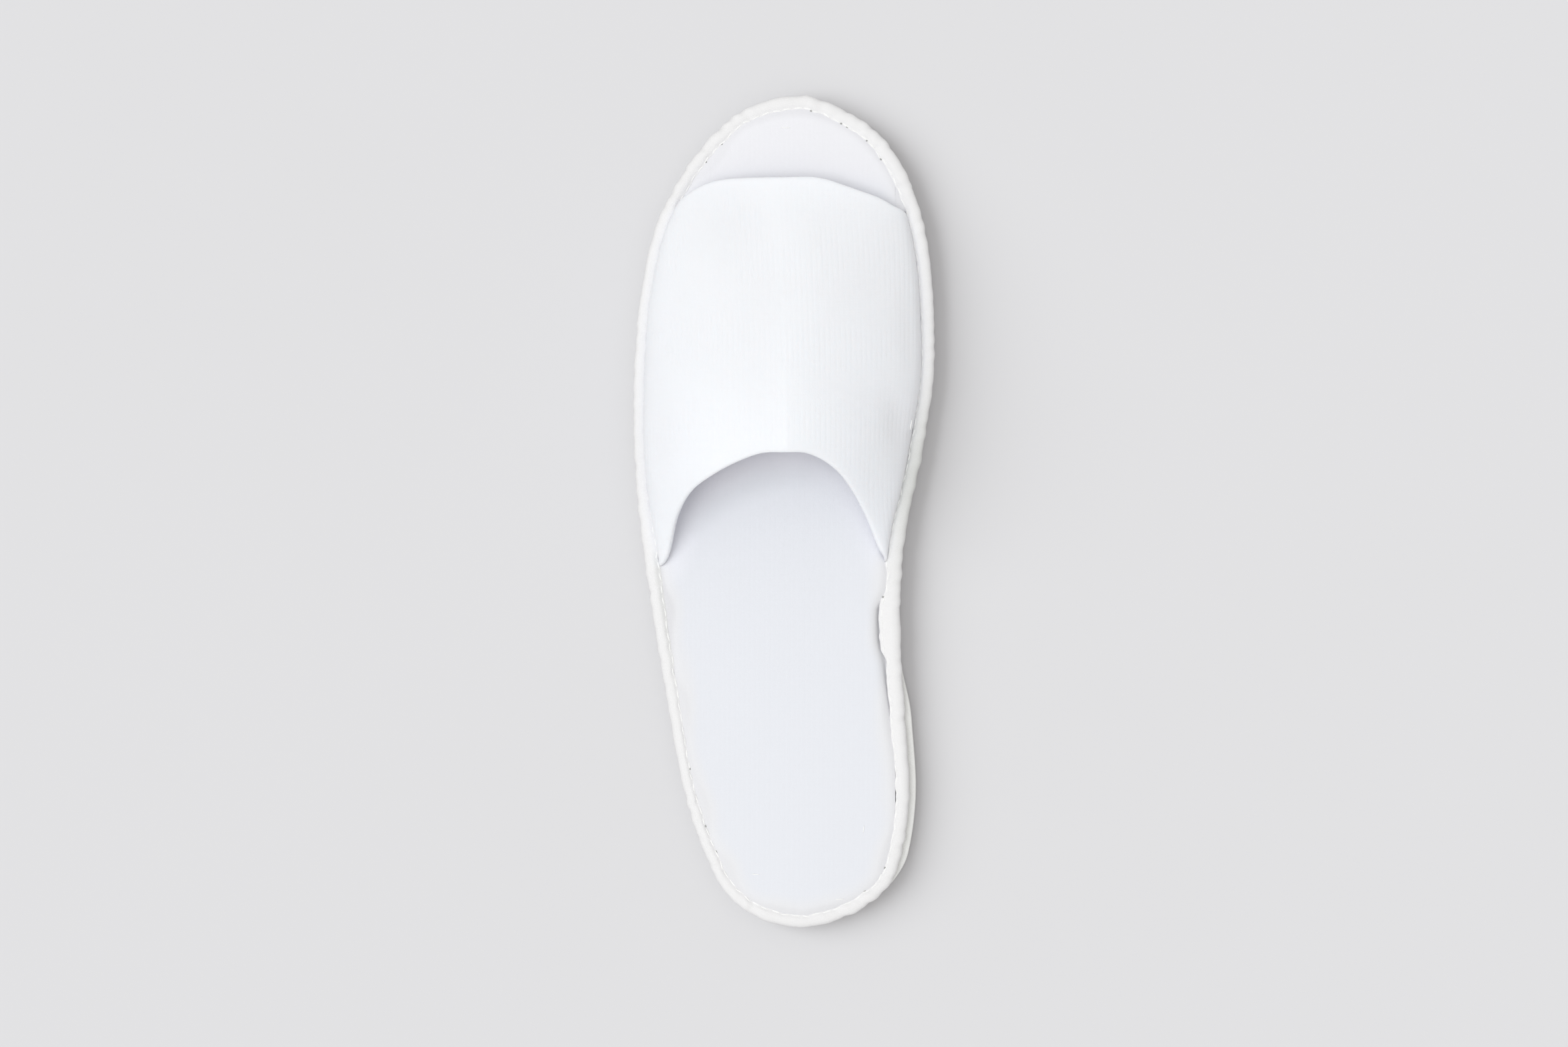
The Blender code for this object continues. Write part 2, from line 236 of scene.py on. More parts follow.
TOE_CROWN = 0.8975
TOE_EDGE = (
    Setback(0.00, 8.8, 11.4),
    Setback(0.25, 4.6, 9.5),
    Setback(0.40, 2.1, 6.5),
    Setback(0.50, 0.9, 4.9),
    Setback(0.60, 0.3, 3.1),
    Setback(0.75, 0.0, 0.4),
    Setback(1.00, 0.0, 0.0),
)
COLLAR_CROWN = 0.569
COLLAR_EDGE = (
    Setback(0.00, 39.0, 38.0),
    Setback(0.10, 38.3, 35.8),
    Setback(0.20, 36.6, 33.6),
    Setback(0.30, 33.1, 30.2),
    Setback(0.40, 26.8, 24.9),
    Setback(0.50, 19.8, 19.0),
    Setback(0.60, 12.6, 12.9),
    Setback(0.70, 7.6, 7.0),
    Setback(0.80, 3.3, 2.7),
    Setback(0.90, 0.3, 0.2),
    Setback(1.00, 0.0, 0.0),
)


@dataclass(frozen=True)
class Bend:
    """A step of the bend from the vamp's margin to its wall, in mm: short of the crease, above the margin."""

    short: float
    rise: float


CREASE_BEND = (Bend(1.90, 0.00), Bend(0.60, 0.16), Bend(0.13, 0.85))


@dataclass(frozen=True)
class Turn:
    """A corner of the folded tape's section.

    inset is mm in from the edge as far as the roll, reach is the share of the rest of the way to the
    fold's tip, height is mm above the tape's foot, and puff is how much of the puckering it takes.
    """

    inset: float
    reach: float
    height: float
    puff: float


ROLL = 2.6
TAPE_TURNS = (
    Turn(6.00, 0.00, 0.70, 0.0),
    Turn(6.00, 0.00, 0.05, 0.0),
    Turn(4.00, 0.00, 0.00, 0.0),
    Turn(2.40, 0.00, 0.00, 0.1),
    Turn(1.30, 0.00, 0.06, 0.4),
    Turn(0.55, 0.00, 0.42, 0.8),
    Turn(0.12, 0.00, 1.10, 1.0),
    Turn(0.00, 0.00, 1.95, 1.0),
    Turn(0.02, 0.00, 2.80, 1.0),
    Turn(0.28, 0.00, 3.60, 1.0),
    Turn(0.80, 0.00, 4.25, 1.0),
    Turn(1.60, 0.00, 4.68, 1.0),
    Turn(2.60, 0.00, 4.80, 1.0),
    Turn(2.60, 0.25, 4.74, 1.0),
    Turn(2.60, 0.45, 4.60, 0.9),
    Turn(2.60, 0.62, 4.38, 0.7),
    Turn(2.60, 0.76, 4.20, 0.5),
    Turn(2.60, 0.88, 4.20, 0.5),
    Turn(2.60, 1.00, 4.08, 0.4),
    Turn(2.60, 1.06, 3.82, 0.2),
    Turn(2.60, 1.00, 3.62, 0.0),
    Turn(2.60, 0.75, 3.58, 0.0),
    Turn(2.60, 0.40, 3.75, 0.0),
    Turn(2.60, 0.00, 3.95, 0.0),
    Turn(1.70, 0.00, 3.90, 0.0),
    Turn(1.00, 0.00, 3.30, 0.0),
    Turn(0.80, 0.00, 2.40, 0.0),
    Turn(0.95, 0.00, 1.50, 0.0),
    Turn(1.60, 0.00, 0.85, 0.0),
    Turn(3.00, 0.00, 0.75, 0.0),
)


@dataclass(frozen=True)
class Tuck:
    """A short fold across the tape where it was eased round the edge, in mm: its place in plan, its half
    width, its depth, and how far it slants for each mm across the tape."""

    x: float
    y: float
    half: float
    depth: float
    slant: float


TUCKS = (
    Tuck(-13.5, 132.5, 1.6, 0.30, 0.5),
    Tuck(-17.0, 129.5, 1.0, 0.34, 0.8),
    Tuck(-20.5, 126.0, 1.3, 0.42, 0.9),
    Tuck(-26.5, 119.0, 1.5, 0.36, 0.8),
    Tuck(-30.5, 113.0, 1.0, 0.26, 0.6),
    Tuck(9.3, 137.5, 0.9, 0.20, -0.3),
    Tuck(21.5, 133.0, 1.0, 0.30, -0.7),
    Tuck(29.0, 127.0, 0.9, 0.26, -0.6),
    Tuck(34.0, 121.0, 1.1, 0.30, -0.6),
    Tuck(40.0, 108.0, 1.0, 0.20, -0.4),
    Tuck(34.0, -122.0, 1.1, 0.34, 0.6),
    Tuck(27.6, -130.0, 1.0, 0.36, 0.5),
    Tuck(20.0, -134.5, 1.2, 0.24, 0.4),
    Tuck(-27.0, -109.0, 1.0, 0.22, -0.6),
    Tuck(-24.0, -118.0, 1.1, 0.28, -0.7),
    Tuck(-12.0, -134.0, 1.2, 0.24, -0.4),
    Tuck(-39.0, -28.0, 0.9, 0.24, 0.5),
    Tuck(-42.0, -12.0, 1.0, 0.26, 0.5),
    Tuck(33.5, -32.0, 0.9, 0.20, 0.3),
    Tuck(36.5, -70.0, 1.0, 0.16, 0.4),
)


@dataclass(frozen=True)
class Crease:
    """A soft trough or ridge in the vamp, in mm: its middle, its half sizes, how it turns, and its height."""

    x: float
    y: float
    across: float
    along: float
    turn_deg: float
    height: float

    def read(self, x: np.ndarray, y: np.ndarray) -> np.ndarray:
        """How high it stands.

        Args:
            x: where across, in metres.
            y: where along.

        Returns:
            The height at each place, in metres.
        """
        turn = math.radians(self.turn_deg)
        east, north = x / MM - self.x, y / MM - self.y
        across = east * math.cos(turn) + north * math.sin(turn)
        along = north * math.cos(turn) - east * math.sin(turn)
        return self.height * MM * np.exp(-((across / self.across) ** 2) - (along / self.along) ** 2)


VAMP_CREASES = (
    Crease(38.5, 30.0, 4.5, 9.0, 8.0, -0.75),
    Crease(37.0, 8.0, 5.0, 8.0, 20.0, 0.40),
    Crease(42.0, 58.0, 3.0, 16.0, 4.0, -0.25),
    Crease(-36.0, -2.0, 5.0, 10.0, -12.0, 0.45),
    Crease(-40.0, 22.0, 4.0, 14.0, -4.0, -0.30),
    Crease(-18.0, 96.0, 12.0, 7.0, 14.0, -0.20),
    Crease(24.0, 92.0, 9.0, 8.0, -20.0, 0.18),
    Crease(6.5, 52.0, 8.0, 48.0, 1.0, 0.45),
)


@dataclass(frozen=True)
class Patch:
    """A soft patch of painted shade in plan, in mm: its strength, its middle and its half sizes."""

    share: float
    x: float
    y: float
    wide: float
    long: float

    def strength(self, x: np.ndarray, y: np.ndarray) -> np.ndarray:
        """How strong the patch is at places given in metres."""
        east, north = (x / MM - self.x) / self.wide, (y / MM - self.y) / self.long
        return self.share * np.exp(-(east ** 2) - north ** 2)


# Painted shade: soft patches that darken the vamp's sloping sides, on the arch side and on the outer side
VAMP_SLOPE_SHADE = (
    Patch(0.90, 34.0, 12.0, 15.0, 28.0),
    Patch(0.40, 32.0, 62.0, 15.0, 36.0),
    Patch(0.45, -37.0, 44.0, 13.0, 60.0),
    Patch(0.25, -37.0, 6.0, 10.0, 16.0),
)
# Painted shadow that the vamp casts on the tape on the arch side
TAPE_VAMP_SHADOW = Patch(1.0, 48.0, 11.0, 24.0, 24.0)


@dataclass(frozen=True)
class Mark:
    """A small visible mark, in mm, by its place in plan, with its length and its turn from the x axis."""

    x: float
    y: float
    length: float
    turn_deg: float


OPEN_HOLES = (
    Mark(9.3, 136.7, 0.9, 0.0),
    Mark(20.5, 133.7, 0.8, -35.0),
    Mark(22.6, 132.1, 1.0, -35.0),
    Mark(28.7, 126.8, 0.7, -45.0),
    Mark(33.5, 120.6, 0.9, -50.0),
    Mark(-20.9, 125.7, 0.8, 40.0),
    Mark(-26.0, 119.5, 0.7, 50.0),
    Mark(33.3, -29.3, 0.8, 90.0),
    Mark(34.0, -121.5, 0.9, 40.0),
    Mark(27.6, -129.3, 0.9, 35.0),
    Mark(-31.7, -88.4, 0.9, -75.0),
    Mark(-26.7, -108.0, 0.9, -65.0),
    Mark(-24.1, -117.2, 0.9, -60.0),
)

LOOSE_THREADS = (
    Mark(0.8, 131.2, 3.4, 2.0),
    Mark(-9.5, -124.1, 2.8, -4.0),
    Mark(19.3, -132.5, 3.0, 6.0),
    Mark(27.5, -108.5, 2.6, 84.0),
)

SIDE_TACKS = (
    Mark(42.9, 29.6, 3.7, 88.0),
    Mark(44.8, 29.9, 3.7, 88.0),
    Mark(42.5, 20.5, 2.6, 80.0),
)


# ---- Curves and noise ----


def smooth(value: np.ndarray, start: float, end: float) -> np.ndarray:
    """An even S from 0 to 1.

    Args:
        value: where to read it.
        start: where it leaves 0.
        end: where it reaches 1.

    Returns:
        The S's height at each value.
    """
    share = np.clip((np.asarray(value, float) - start) / (end - start), 0, 1)
    return share * share * (3 - 2 * share)


def through(rows: Sequence, name: str, place: np.ndarray) -> np.ndarray:
    """A column of a table, on a smooth curve through its rows.

    Args:
        rows: the table, in order of its rows' "at".
        name: the column.
        place: where to read it.

    Returns:
        The column's value at each place.
    """
    stops = np.array([row.at for row in rows])
    values = np.array([getattr(row, name) for row in rows])
    slopes = np.gradient(values, stops)
    place = np.clip(place, stops[0], stops[-1])
    k = np.clip(np.searchsorted(stops, place) - 1, 0, len(stops) - 2)
    span = stops[k + 1] - stops[k]
    t = (place - stops[k]) / span
    bend = t * t * (3 - 2 * t)
    lift = span * t * (1 - t) * ((1 - t) * slopes[k] - t * slopes[k + 1])
    return values[k] * (1 - bend) + values[k + 1] * bend + lift


def ribbed(place: np.ndarray, pitch: float) -> np.ndarray:
    """Rounded ribs side by side: 0 on their tops and -1 in the grooves between them."""
    return np.abs(np.cos(np.pi * place / pitch)) ** RIB_CURVE - 1


def unit(vectors: np.ndarray) -> np.ndarray:
    """The same directions, one long."""
    return vectors / np.maximum(np.linalg.norm(vectors, axis=-1, keepdims=True), 1e-12)


@dataclass(frozen=True)
class Waves:
    """Unevenness round the edge, in mm: its shortest and longest wave, its height, and its seed."""

    # How many lengths of wave it is mixed from, at most
    MOST = 18

    shortest: float
    longest: float
    height: float
    seed: int

    def read(self, run: np.ndarray, whole: float) -> np.ndarray:
        """How high it stands, as uneven waves that close on themselves.

        Args:
            run: how far round a loop to read it, in metres.
            whole: the loop's length.

        Returns:
            The height at each place, in metres.
        """
        random = np.random.default_rng(self.seed)
        total = np.zeros_like(run)
        weight = 0.0
        fewest, most = whole / (self.longest * MM), whole / (self.shortest * MM)
        for count in np.unique(np.geomspace(fewest, most, self.MOST).astype(int)):
            share = random.uniform(0.4, 1.0)
            total += share * np.sin(2 * np.pi * (count * run / whole + random.uniform()))
            weight += share * share
        return total / math.sqrt(weight) * self.height * MM


@dataclass(frozen=True)
class Ground:
    """Soft unevenness of a face, in mm: how far apart its hills lie, how high they are, and its seed."""

    # How many waves it is mixed from
    WAVES = 14

    size: float
    height: float
    seed: int

    def hills(self, x: np.ndarray, y: np.ndarray) -> np.ndarray:
        """The bare hills.

        Args:
            x: where across to read them, in metres.
            y: where along.

        Returns:
            Their height at each place, about 1 high.
        """
        random = np.random.default_rng(self.seed)
        total = np.zeros(np.broadcast(x, y).shape)
        for _ in range(self.WAVES):
            heading = random.uniform(0, 2 * np.pi)
            length = self.size * MM * random.uniform(0.7, 1.6)
            phase = random.uniform(0, 2 * np.pi)
            total += np.sin(2 * np.pi * (x * math.cos(heading) + y * math.sin(heading)) / length + phase)
        return total / math.sqrt(self.WAVES / 2)

    def read(self, x: np.ndarray, y: np.ndarray) -> np.ndarray:
        """How high it stands at x and y."""
        return self.hills(x, y) * self.height * MM


# ---- The slipper's form ----


@dataclass(frozen=True)
class Loop:
    """Places right round the outline from the heel's tip by the arch side, equally far apart."""

    points: np.ndarray
    outward: np.ndarray
    run: np.ndarray
    whole: float

    def ring(self, inset: np.ndarray) -> np.ndarray:
        """The loop's places set in by inset."""
        return self.points - self.outward * np.broadcast_to(inset, self.run.shape)[:, None]


class Form:
    """The slipper's outline and the folds on it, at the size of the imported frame."""

    CURVE_STEPS = 60
    # Across the slipper, the fold's reach goes over from one side's to the other's between these places
    FOLD_TURNS = (-3 * MM, 9 * MM)
    # Along the slipper, the outer side's dip grows over the first stretch and ends over the second
    # There the footbed's gap by the tape is wider, and painted shade lies on the footbed and the tape
    WEAR_GROWS = (-76 * MM, -30 * MM)
    WEAR_ENDS = (-18 * MM, -10 * MM)
    # How many places are set against the outline at once
    CHUNK = 4096

    def __init__(self) -> None:
        """Read the frame and draw the outline."""
        low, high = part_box("edge_binding")
        self.length = high.y - low.y
        self.width = high.x - low.x
        self.middle = np.array(((low.x + high.x) / 2, (low.y + high.y) / 2))
        self.tape_foot, self.tape_top = low.z, high.z
        curve = self._curve()
        self._curve_points = curve
        tangent = unit(np.roll(curve, -1, axis=0) - np.roll(curve, 1, axis=0))
        self._curve_outward = np.stack((tangent[:, 1], -tangent[:, 0]), axis=1)
        toe = int(curve[:, 1].argmax())
        rows = np.concatenate((curve, self._curve_outward), axis=1)
        self._sides = {
            Side.MEDIAL: rows[: toe + 1],
            Side.LATERAL: np.vstack((rows[:1], rows[: toe - 1:-1])),
        }

    def _curve(self) -> np.ndarray:
        """The closed outline, through the table's rows.

        Returns:
            Its places, x and y, from the heel's tip by the arch side.
        """
        corners = [(HEEL_TIP, 0.0)] + [(row.medial, row.at) for row in OUTLINE]
        corners += [(TOE_TIP, 1.0)] + [(-row.lateral, row.at) for row in reversed(OUTLINE)]
        size = np.array((self.width, self.length))
        corners = np.array(corners) * size
        ahead = np.roll(corners, -1, axis=0)
        span = np.linalg.norm(ahead - corners, axis=1)[:, None]
        tangent = (ahead - np.roll(corners, 1, axis=0)) / (span + np.roll(span, 1, axis=0))
        onward = np.roll(tangent, -1, axis=0)
        steps = []
        for t in np.linspace(0, 1, self.CURVE_STEPS, endpoint=False):
            bend = t * t * (3 - 2 * t)
            lift = span * t * (1 - t) * ((1 - t) * tangent - t * onward)
            steps.append(corners * (1 - bend) + ahead * bend + lift)
        curve = np.stack(steps, axis=1).reshape(-1, 2)
        low, high = curve.min(axis=0), curve.max(axis=0)
        curve = (curve - (low + high) / 2) * size / (high - low) + self.middle
        return np.roll(curve, -int(curve[:, 1].argmin()), axis=0)

    def along(self, y: np.ndarray) -> np.ndarray:
        """The share of the length at y."""
        return (y - self.middle[1]) / self.length + 0.5

    def edge(self, side: Side, y: np.ndarray) -> tuple[np.ndarray, np.ndarray]:
        """The outline on one side.

        Args:
            side: which side.
            y: where along the slipper.

        Returns:
            Its x, and the x part of its outward direction.
        """
        rows = self._sides[side]
        return np.interp(y, rows[:, 1], rows[:, 0]), np.interp(y, rows[:, 1], rows[:, 2])

    def loop(self, count: int) -> Loop:
        """Equally spaced places right round the outline.

        Args:
            count: how many.

        Returns:
            The loop.
        """
        closed = np.vstack((self._curve_points, self._curve_points[:1]))
        outward = np.vstack((self._curve_outward, self._curve_outward[:1]))
        run = np.concatenate(([0.0], np.cumsum(np.linalg.norm(np.diff(closed, axis=0), axis=1))))
        stops = np.linspace(0, run[-1], count, endpoint=False)
        points = np.stack([np.interp(stops, run, closed[:, k]) for k in (0, 1)], axis=1)
        normals = unit(np.stack([np.interp(stops, run, outward[:, k]) for k in (0, 1)], axis=1))
        return Loop(points, normals, stops, float(run[-1]))

    def fold(self, points: np.ndarray) -> np.ndarray:
        """How far the binding's upper fold reaches in.

        Args:
            points: places on the outline, x and y.

        Returns:
            The reach at each.
        """
        along = self.along(points[:, 1])
        medial, lateral = through(FOLDS, "medial", along), through(FOLDS, "lateral", along)
        blend = smooth(points[:, 0] - self.middle[0], *self.FOLD_TURNS)
        return (lateral + (medial - lateral) * blend) * MM

    def side_fold(self, side: Side, y: np.ndarray) -> np.ndarray:
        """How far the fold reaches in on one side, at y."""
        return through(FOLDS, side.name.lower(), self.along(y)) * MM

    def cover(self, along: np.ndarray, near: float, far: float) -> np.ndarray:
        """How far a place is covered by the vamp.

        Args:
            along: the place's share of the length.
            near: how far past the vamp's low ends it is still wholly covered.
            far: how far past them it is clear.

        Returns:
            1 beside the vamp and 0 well clear of it.
        """
        back = COLLAR_CROWN - COLLAR_EDGE[0].lateral * MM / self.length
        front = TOE_CROWN - TOE_EDGE[0].lateral * MM / self.length
        return smooth(along, back - far, back - near) * (1 - smooth(along, front + near, front + far))

    def worn_side(self, x: np.ndarray, y: np.ndarray) -> np.ndarray:
        """The outer side's dip, where gap and painted shade by the tape grow: up to 1 near the vamp, 0 on the
        arch side.
        """
        return smooth(y, *self.WEAR_GROWS) * (1 - smooth(y, *self.WEAR_ENDS)) * (x < self.middle[0])

    def inset(self, x: np.ndarray, y: np.ndarray, loop: Loop) -> tuple[np.ndarray, np.ndarray]:
        """How far inside the outline places lie.

        Args:
            x: their x.
            y: their y.
            loop: the outline, finely cut.

        Returns:
            The distance in from the outline, and the number of the loop's nearest place.
        """
        places = np.stack((x.ravel(), y.ravel()), axis=1).astype(np.float32)
        ring = loop.points.astype(np.float32)
        squares = (ring * ring).sum(axis=1)
        nearest = np.empty(len(places), int)
        for start in range(0, len(places), self.CHUNK):
            part = places[start:start + self.CHUNK]
            nearest[start:start + self.CHUNK] = (squares - 2 * part @ ring.T).argmin(axis=1)
        depth = ((loop.points[nearest] - places) * loop.outward[nearest]).sum(axis=1)
        return depth.reshape(x.shape), nearest.reshape(x.shape)


# ---- The bench: where pieces are started, shaped and finished ----


class Bench:
    """Starts a piece from a primitive, shapes it with edit-mode operators and hands it on."""

    # Corners nearer than this are one, in metres
    WELD = 1e-6

    @staticmethod
    def clear() -> None:
        """Leave edit mode and deselect everything."""
        if bpy.context.object and bpy.context.object.mode != "OBJECT":
            bpy.ops.object.mode_set(mode="OBJECT")
        bpy.ops.object.select_all(action="DESELECT")

    @classmethod
    def take(cls, piece: Piece) -> None:
        """Select one piece alone and make it active.

        Args:
            piece: the piece.
        """
        cls.clear()
        piece.select_set(True)
        bpy.context.view_layer.objects.active = piece

    @classmethod
    def started(cls, name: str) -> Piece:
        """Name the primitive that was just added, and put its place in its mesh.

        Args:
            name: its new name.

        Returns:
            The primitive.
        """
        piece = bpy.context.object
        piece.name = name
        piece.data.name = name
        bpy.ops.object.transform_apply(location=True, rotation=True, scale=True)
        return piece

    @classmethod
    def edit(cls, piece: Piece, part: Part = Part.CORNER) -> None:
        """Go into edit mode with nothing selected.

        Args:
            piece: the piece to shape.
            part: what will be selected on it.
        """
        cls.take(piece)
        bpy.ops.object.mode_set(mode="EDIT")
        bpy.ops.mesh.select_mode(type=part.value)
        bpy.ops.mesh.select_all(action="DESELECT")

    @classmethod
    def pick(cls, piece: Piece, part: Part, test: Callable[[Vector, Vector], bool]) -> None:
        """Select faces or edges by place and direction, and stay in edit mode.

        Args:
            piece: the piece to shape.
            part: faces or edges.
            test: takes the middle, and the normal of a face or the direction of an edge.
        """
        cls.edit(piece, part)
        bpy.ops.object.mode_set(mode="OBJECT")
        mesh = piece.data
        if part is Part.FACE:
            for face in mesh.polygons:
                face.select = test(face.center, face.normal)
        else:
            for edge in mesh.edges:
                start, end = (mesh.vertices[k].co for k in edge.vertices)
                edge.select = test((start + end) / 2, (end - start).normalized())
        bpy.ops.object.mode_set(mode="EDIT")

    @classmethod
    def finish(cls, piece: Piece, angle_deg: float = 50.0) -> None:
        """Weld what meets, turn faces outward and shade the piece smooth.

        Args:
            piece: the finished piece.
            angle_deg: edges sharper than this stay sharp.
        """
        cls.edit(piece)
        bpy.ops.mesh.select_all(action="SELECT")
        bpy.ops.mesh.remove_doubles(threshold=cls.WELD)
        bpy.ops.mesh.normals_make_consistent(inside=False)
        bpy.ops.object.mode_set(mode="OBJECT")
        bpy.ops.object.shade_smooth_by_angle(angle=math.radians(angle_deg))
        cls.clear()

    @classmethod
    def blank(
        cls, name: str, points: np.ndarray, chart: np.ndarray, strips: np.ndarray | None = None
    ) -> Piece:
        """A cloth blank: a flat grid laid over a form.

        Args:
            name: the piece's name.
            points: where each corner of the grid lies, rows by columns by 3.
            chart: the cloth's own flat coordinates there, rows by columns by 2, in metres.
            strips: the number of the finish that each strip between two rows takes, or None for one finish.

        Returns:
            The piece, with its flat coordinates as its UV map.
        """
        rows, columns = points.shape[:2]
        cls.clear()
        bpy.ops.mesh.primitive_grid_add(x_subdivisions=columns - 1, y_subdivisions=rows - 1, size=1)
        piece = cls.started(name)
        mesh = piece.data
        # The new grid is one metre wide round the origin, so each corner's place tells its row and column
        flat = np.empty(len(mesh.vertices) * 3, np.float32)
        mesh.vertices.foreach_get("co", flat)
        flat = flat.reshape(-1, 3)
        column = np.rint((flat[:, 0] + 0.5) * (columns - 1)).astype(int)
        row = np.rint((flat[:, 1] + 0.5) * (rows - 1)).astype(int)
        mesh.vertices.foreach_set("co", points[row, column].astype(np.float32).ravel())
        corners = np.empty(len(mesh.loops), np.int32)
        mesh.loops.foreach_get("vertex_index", corners)
        layer = mesh.uv_layers.active or mesh.uv_layers.new(name="cloth")
        layer.name = "cloth"
        laid = (chart / UV_UNIT)[row, column][corners]
        layer.data.foreach_set("uv", laid.astype(np.float32).ravel())
        if strips is not None:
            lowest = row[corners].reshape(-1, 4).min(axis=1)
            mesh.polygons.foreach_set("material_index", strips[lowest].astype(np.int32))
        mesh.update()
        return piece

    @staticmethod
    def plan(piece: Piece) -> tuple[np.ndarray, np.ndarray]:
        """Where a piece's corners lie in plan.

        Args:
            piece: the piece.

        Returns:
            Their x and their y.
        """
        place = np.empty(len(piece.data.vertices) * 3, np.float32)
        piece.data.vertices.foreach_get("co", place)
        return place[0::3].astype(float), place[1::3].astype(float)

    @staticmethod
    def note(piece: Piece, noted: Noted, share: np.ndarray) -> None:
        """Keep a share from 0 to 1 at each of a piece's corners, for its finish to read."""
        kept = piece.data.attributes.new(noted.value, "FLOAT", "POINT")
        kept.data.foreach_set("value", share.astype(np.float32))

    @classmethod
    def bead(cls, name: str, segments: int, rings: int, radius: float) -> Piece:
        """A small ball, the pattern for stitches, threads and holes.

        Args:
            name: its name.
            segments: how many faces it has round it.
            rings: how many from pole to pole.
            radius: its radius.

        Returns:
            The ball.
        """
        cls.clear()
        bpy.ops.mesh.primitive_uv_sphere_add(segments=segments, ring_count=rings, radius=radius)
        return cls.started(name)

    @classmethod
    def copies(cls, name: str, pattern: Piece, places: Sequence[Matrix]) -> Piece:
        """Many copies of a small pattern, joined in one mesh. The pattern itself is removed.

        Args:
            name: the joined piece's name.
            pattern: what is copied.
            places: where each copy goes.

        Returns:
            The joined piece.
        """
        source = pattern.data
        corners = np.array([(*v.co, 1.0) for v in source.vertices])
        faces = [tuple(face.vertices) for face in source.polygons]
        points = np.concatenate([corners @ np.array(place).T for place in places])[:, :3]
        count = len(corners)
        joined = [tuple(count * k + c for c in face) for k in range(len(places)) for face in faces]
        mesh = bpy.data.meshes.new(name)
        mesh.from_pydata(points.tolist(), [], joined)
        mesh.update()
        piece = bpy.data.objects.new(name, mesh)
        bpy.context.scene.collection.objects.link(piece)
        bpy.data.objects.remove(pattern, do_unlink=True)
        cls.take(piece)
        bpy.ops.object.shade_smooth()
        cls.clear()
        return piece

    @staticmethod
    def dress(piece: Piece, slot: Slot, *finishes: Material) -> None:
        """Give a piece its finishes and the body it rides on, and report it.

        Args:
            piece: the piece.
            slot: its slot in the record; not used.
            finishes: its finishes, the usual one first.
        """
        for finish in finishes:
            piece.data.materials.append(finish)
        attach(piece, BODY)
        log.info("%s: %d faces", piece.name, len(piece.data.polygons))


# ---- Finishes ----


class Wiring:
    """Adds and joins the nodes of one tree."""

    def __init__(self, tree: Tree) -> None:
        """Keep the tree that the nodes go in."""
        self.tree = tree

    def add(self, kind: str, **settings: object) -> Node:
        """A new node.

        Args:
            kind: its type.
            settings: its properties.

        Returns:
            The node.
        """
        node = self.tree.nodes.new(kind)
        for name, value in settings.items():
            setattr(node, name, value)
        return node

    def feed(self, socket: Socket, value: object) -> None:
        """Join an input to an output, or set its value.

        Args:
            socket: the input.
            value: an output, a number, a vector or a colour.
        """
        if isinstance(value, Socket):
            self.tree.links.new(value, socket)
        else:
            socket.default_value = value

    def math(self, operation: str, *values: object) -> Socket:
        """A sum on outputs or numbers.

        Args:
            operation: what the Math node does.
            values: what it takes, in order.

        Returns:
            Its result.
        """
        node = self.add("ShaderNodeMath", operation=operation)
        for socket, value in zip(node.inputs, values):
            self.feed(socket, value)
        return node.outputs[0]

    def stretch(self, vector: Socket, scale: object) -> Socket:
        """Coordinates made larger or smaller.

        Args:
            vector: the coordinates.
            scale: what they are multiplied by: an output, or a number for each.

        Returns:
            The new coordinates.
        """
        node = self.add("ShaderNodeVectorMath", operation="MULTIPLY")
        self.feed(node.inputs[0], vector)
        self.feed(node.inputs[1], scale)
        return node.outputs[0]

    def split(self, vector: Socket) -> Sequence[Socket]:
        """Coordinates taken apart.

        Args:
            vector: the coordinates.

        Returns:
            Their x, y and z.
        """
        node = self.add("ShaderNodeSeparateXYZ")
        self.feed(node.inputs[0], vector)
        return node.outputs

    def noise(self, vector: Socket, scale: object, detail: float) -> Socket:
        """A noise texture.

        Args:
            vector: the coordinates.
            scale: how fine it is.
            detail: how many finer layers it has.

        Returns:
            Its height.
        """
        node = self.add("ShaderNodeTexNoise")
        self.feed(node.inputs["Vector"], vector)
        self.feed(node.inputs["Scale"], scale)
        self.feed(node.inputs["Detail"], detail)
        return node.outputs["Fac"]

    def spread(self, value: object, source: Span, target: Span = (0.0, 1.0)) -> Socket:
        """A value's range stretched on to another, clamped at its ends.

        Args:
            value: the value.
            source: the range that it is taken from.
            target: the range that it is stretched on to.

        Returns:
            The new value.
        """
        node = self.add("ShaderNodeMapRange", clamp=True)
        names = ("Value", "From Min", "From Max", "To Min", "To Max")
        for name, number in zip(names, (value, *source, *target)):
            self.feed(node.inputs[name], number)
        return node.outputs["Result"]

    def blend(self, factor: object, first: object, second: object) -> Socket:
        """A mix of two colours.

        Args:
            factor: the second one's share.
            first: an output, or a colour with its alpha.
            second: the same.

        Returns:
            The mixed colour.
        """
        node = self.add("ShaderNodeMix", data_type="RGBA")
        self.feed(node.inputs["Factor"], factor)
        self.feed(node.inputs[6], first)
        self.feed(node.inputs[7], second)
        return node.outputs[2]


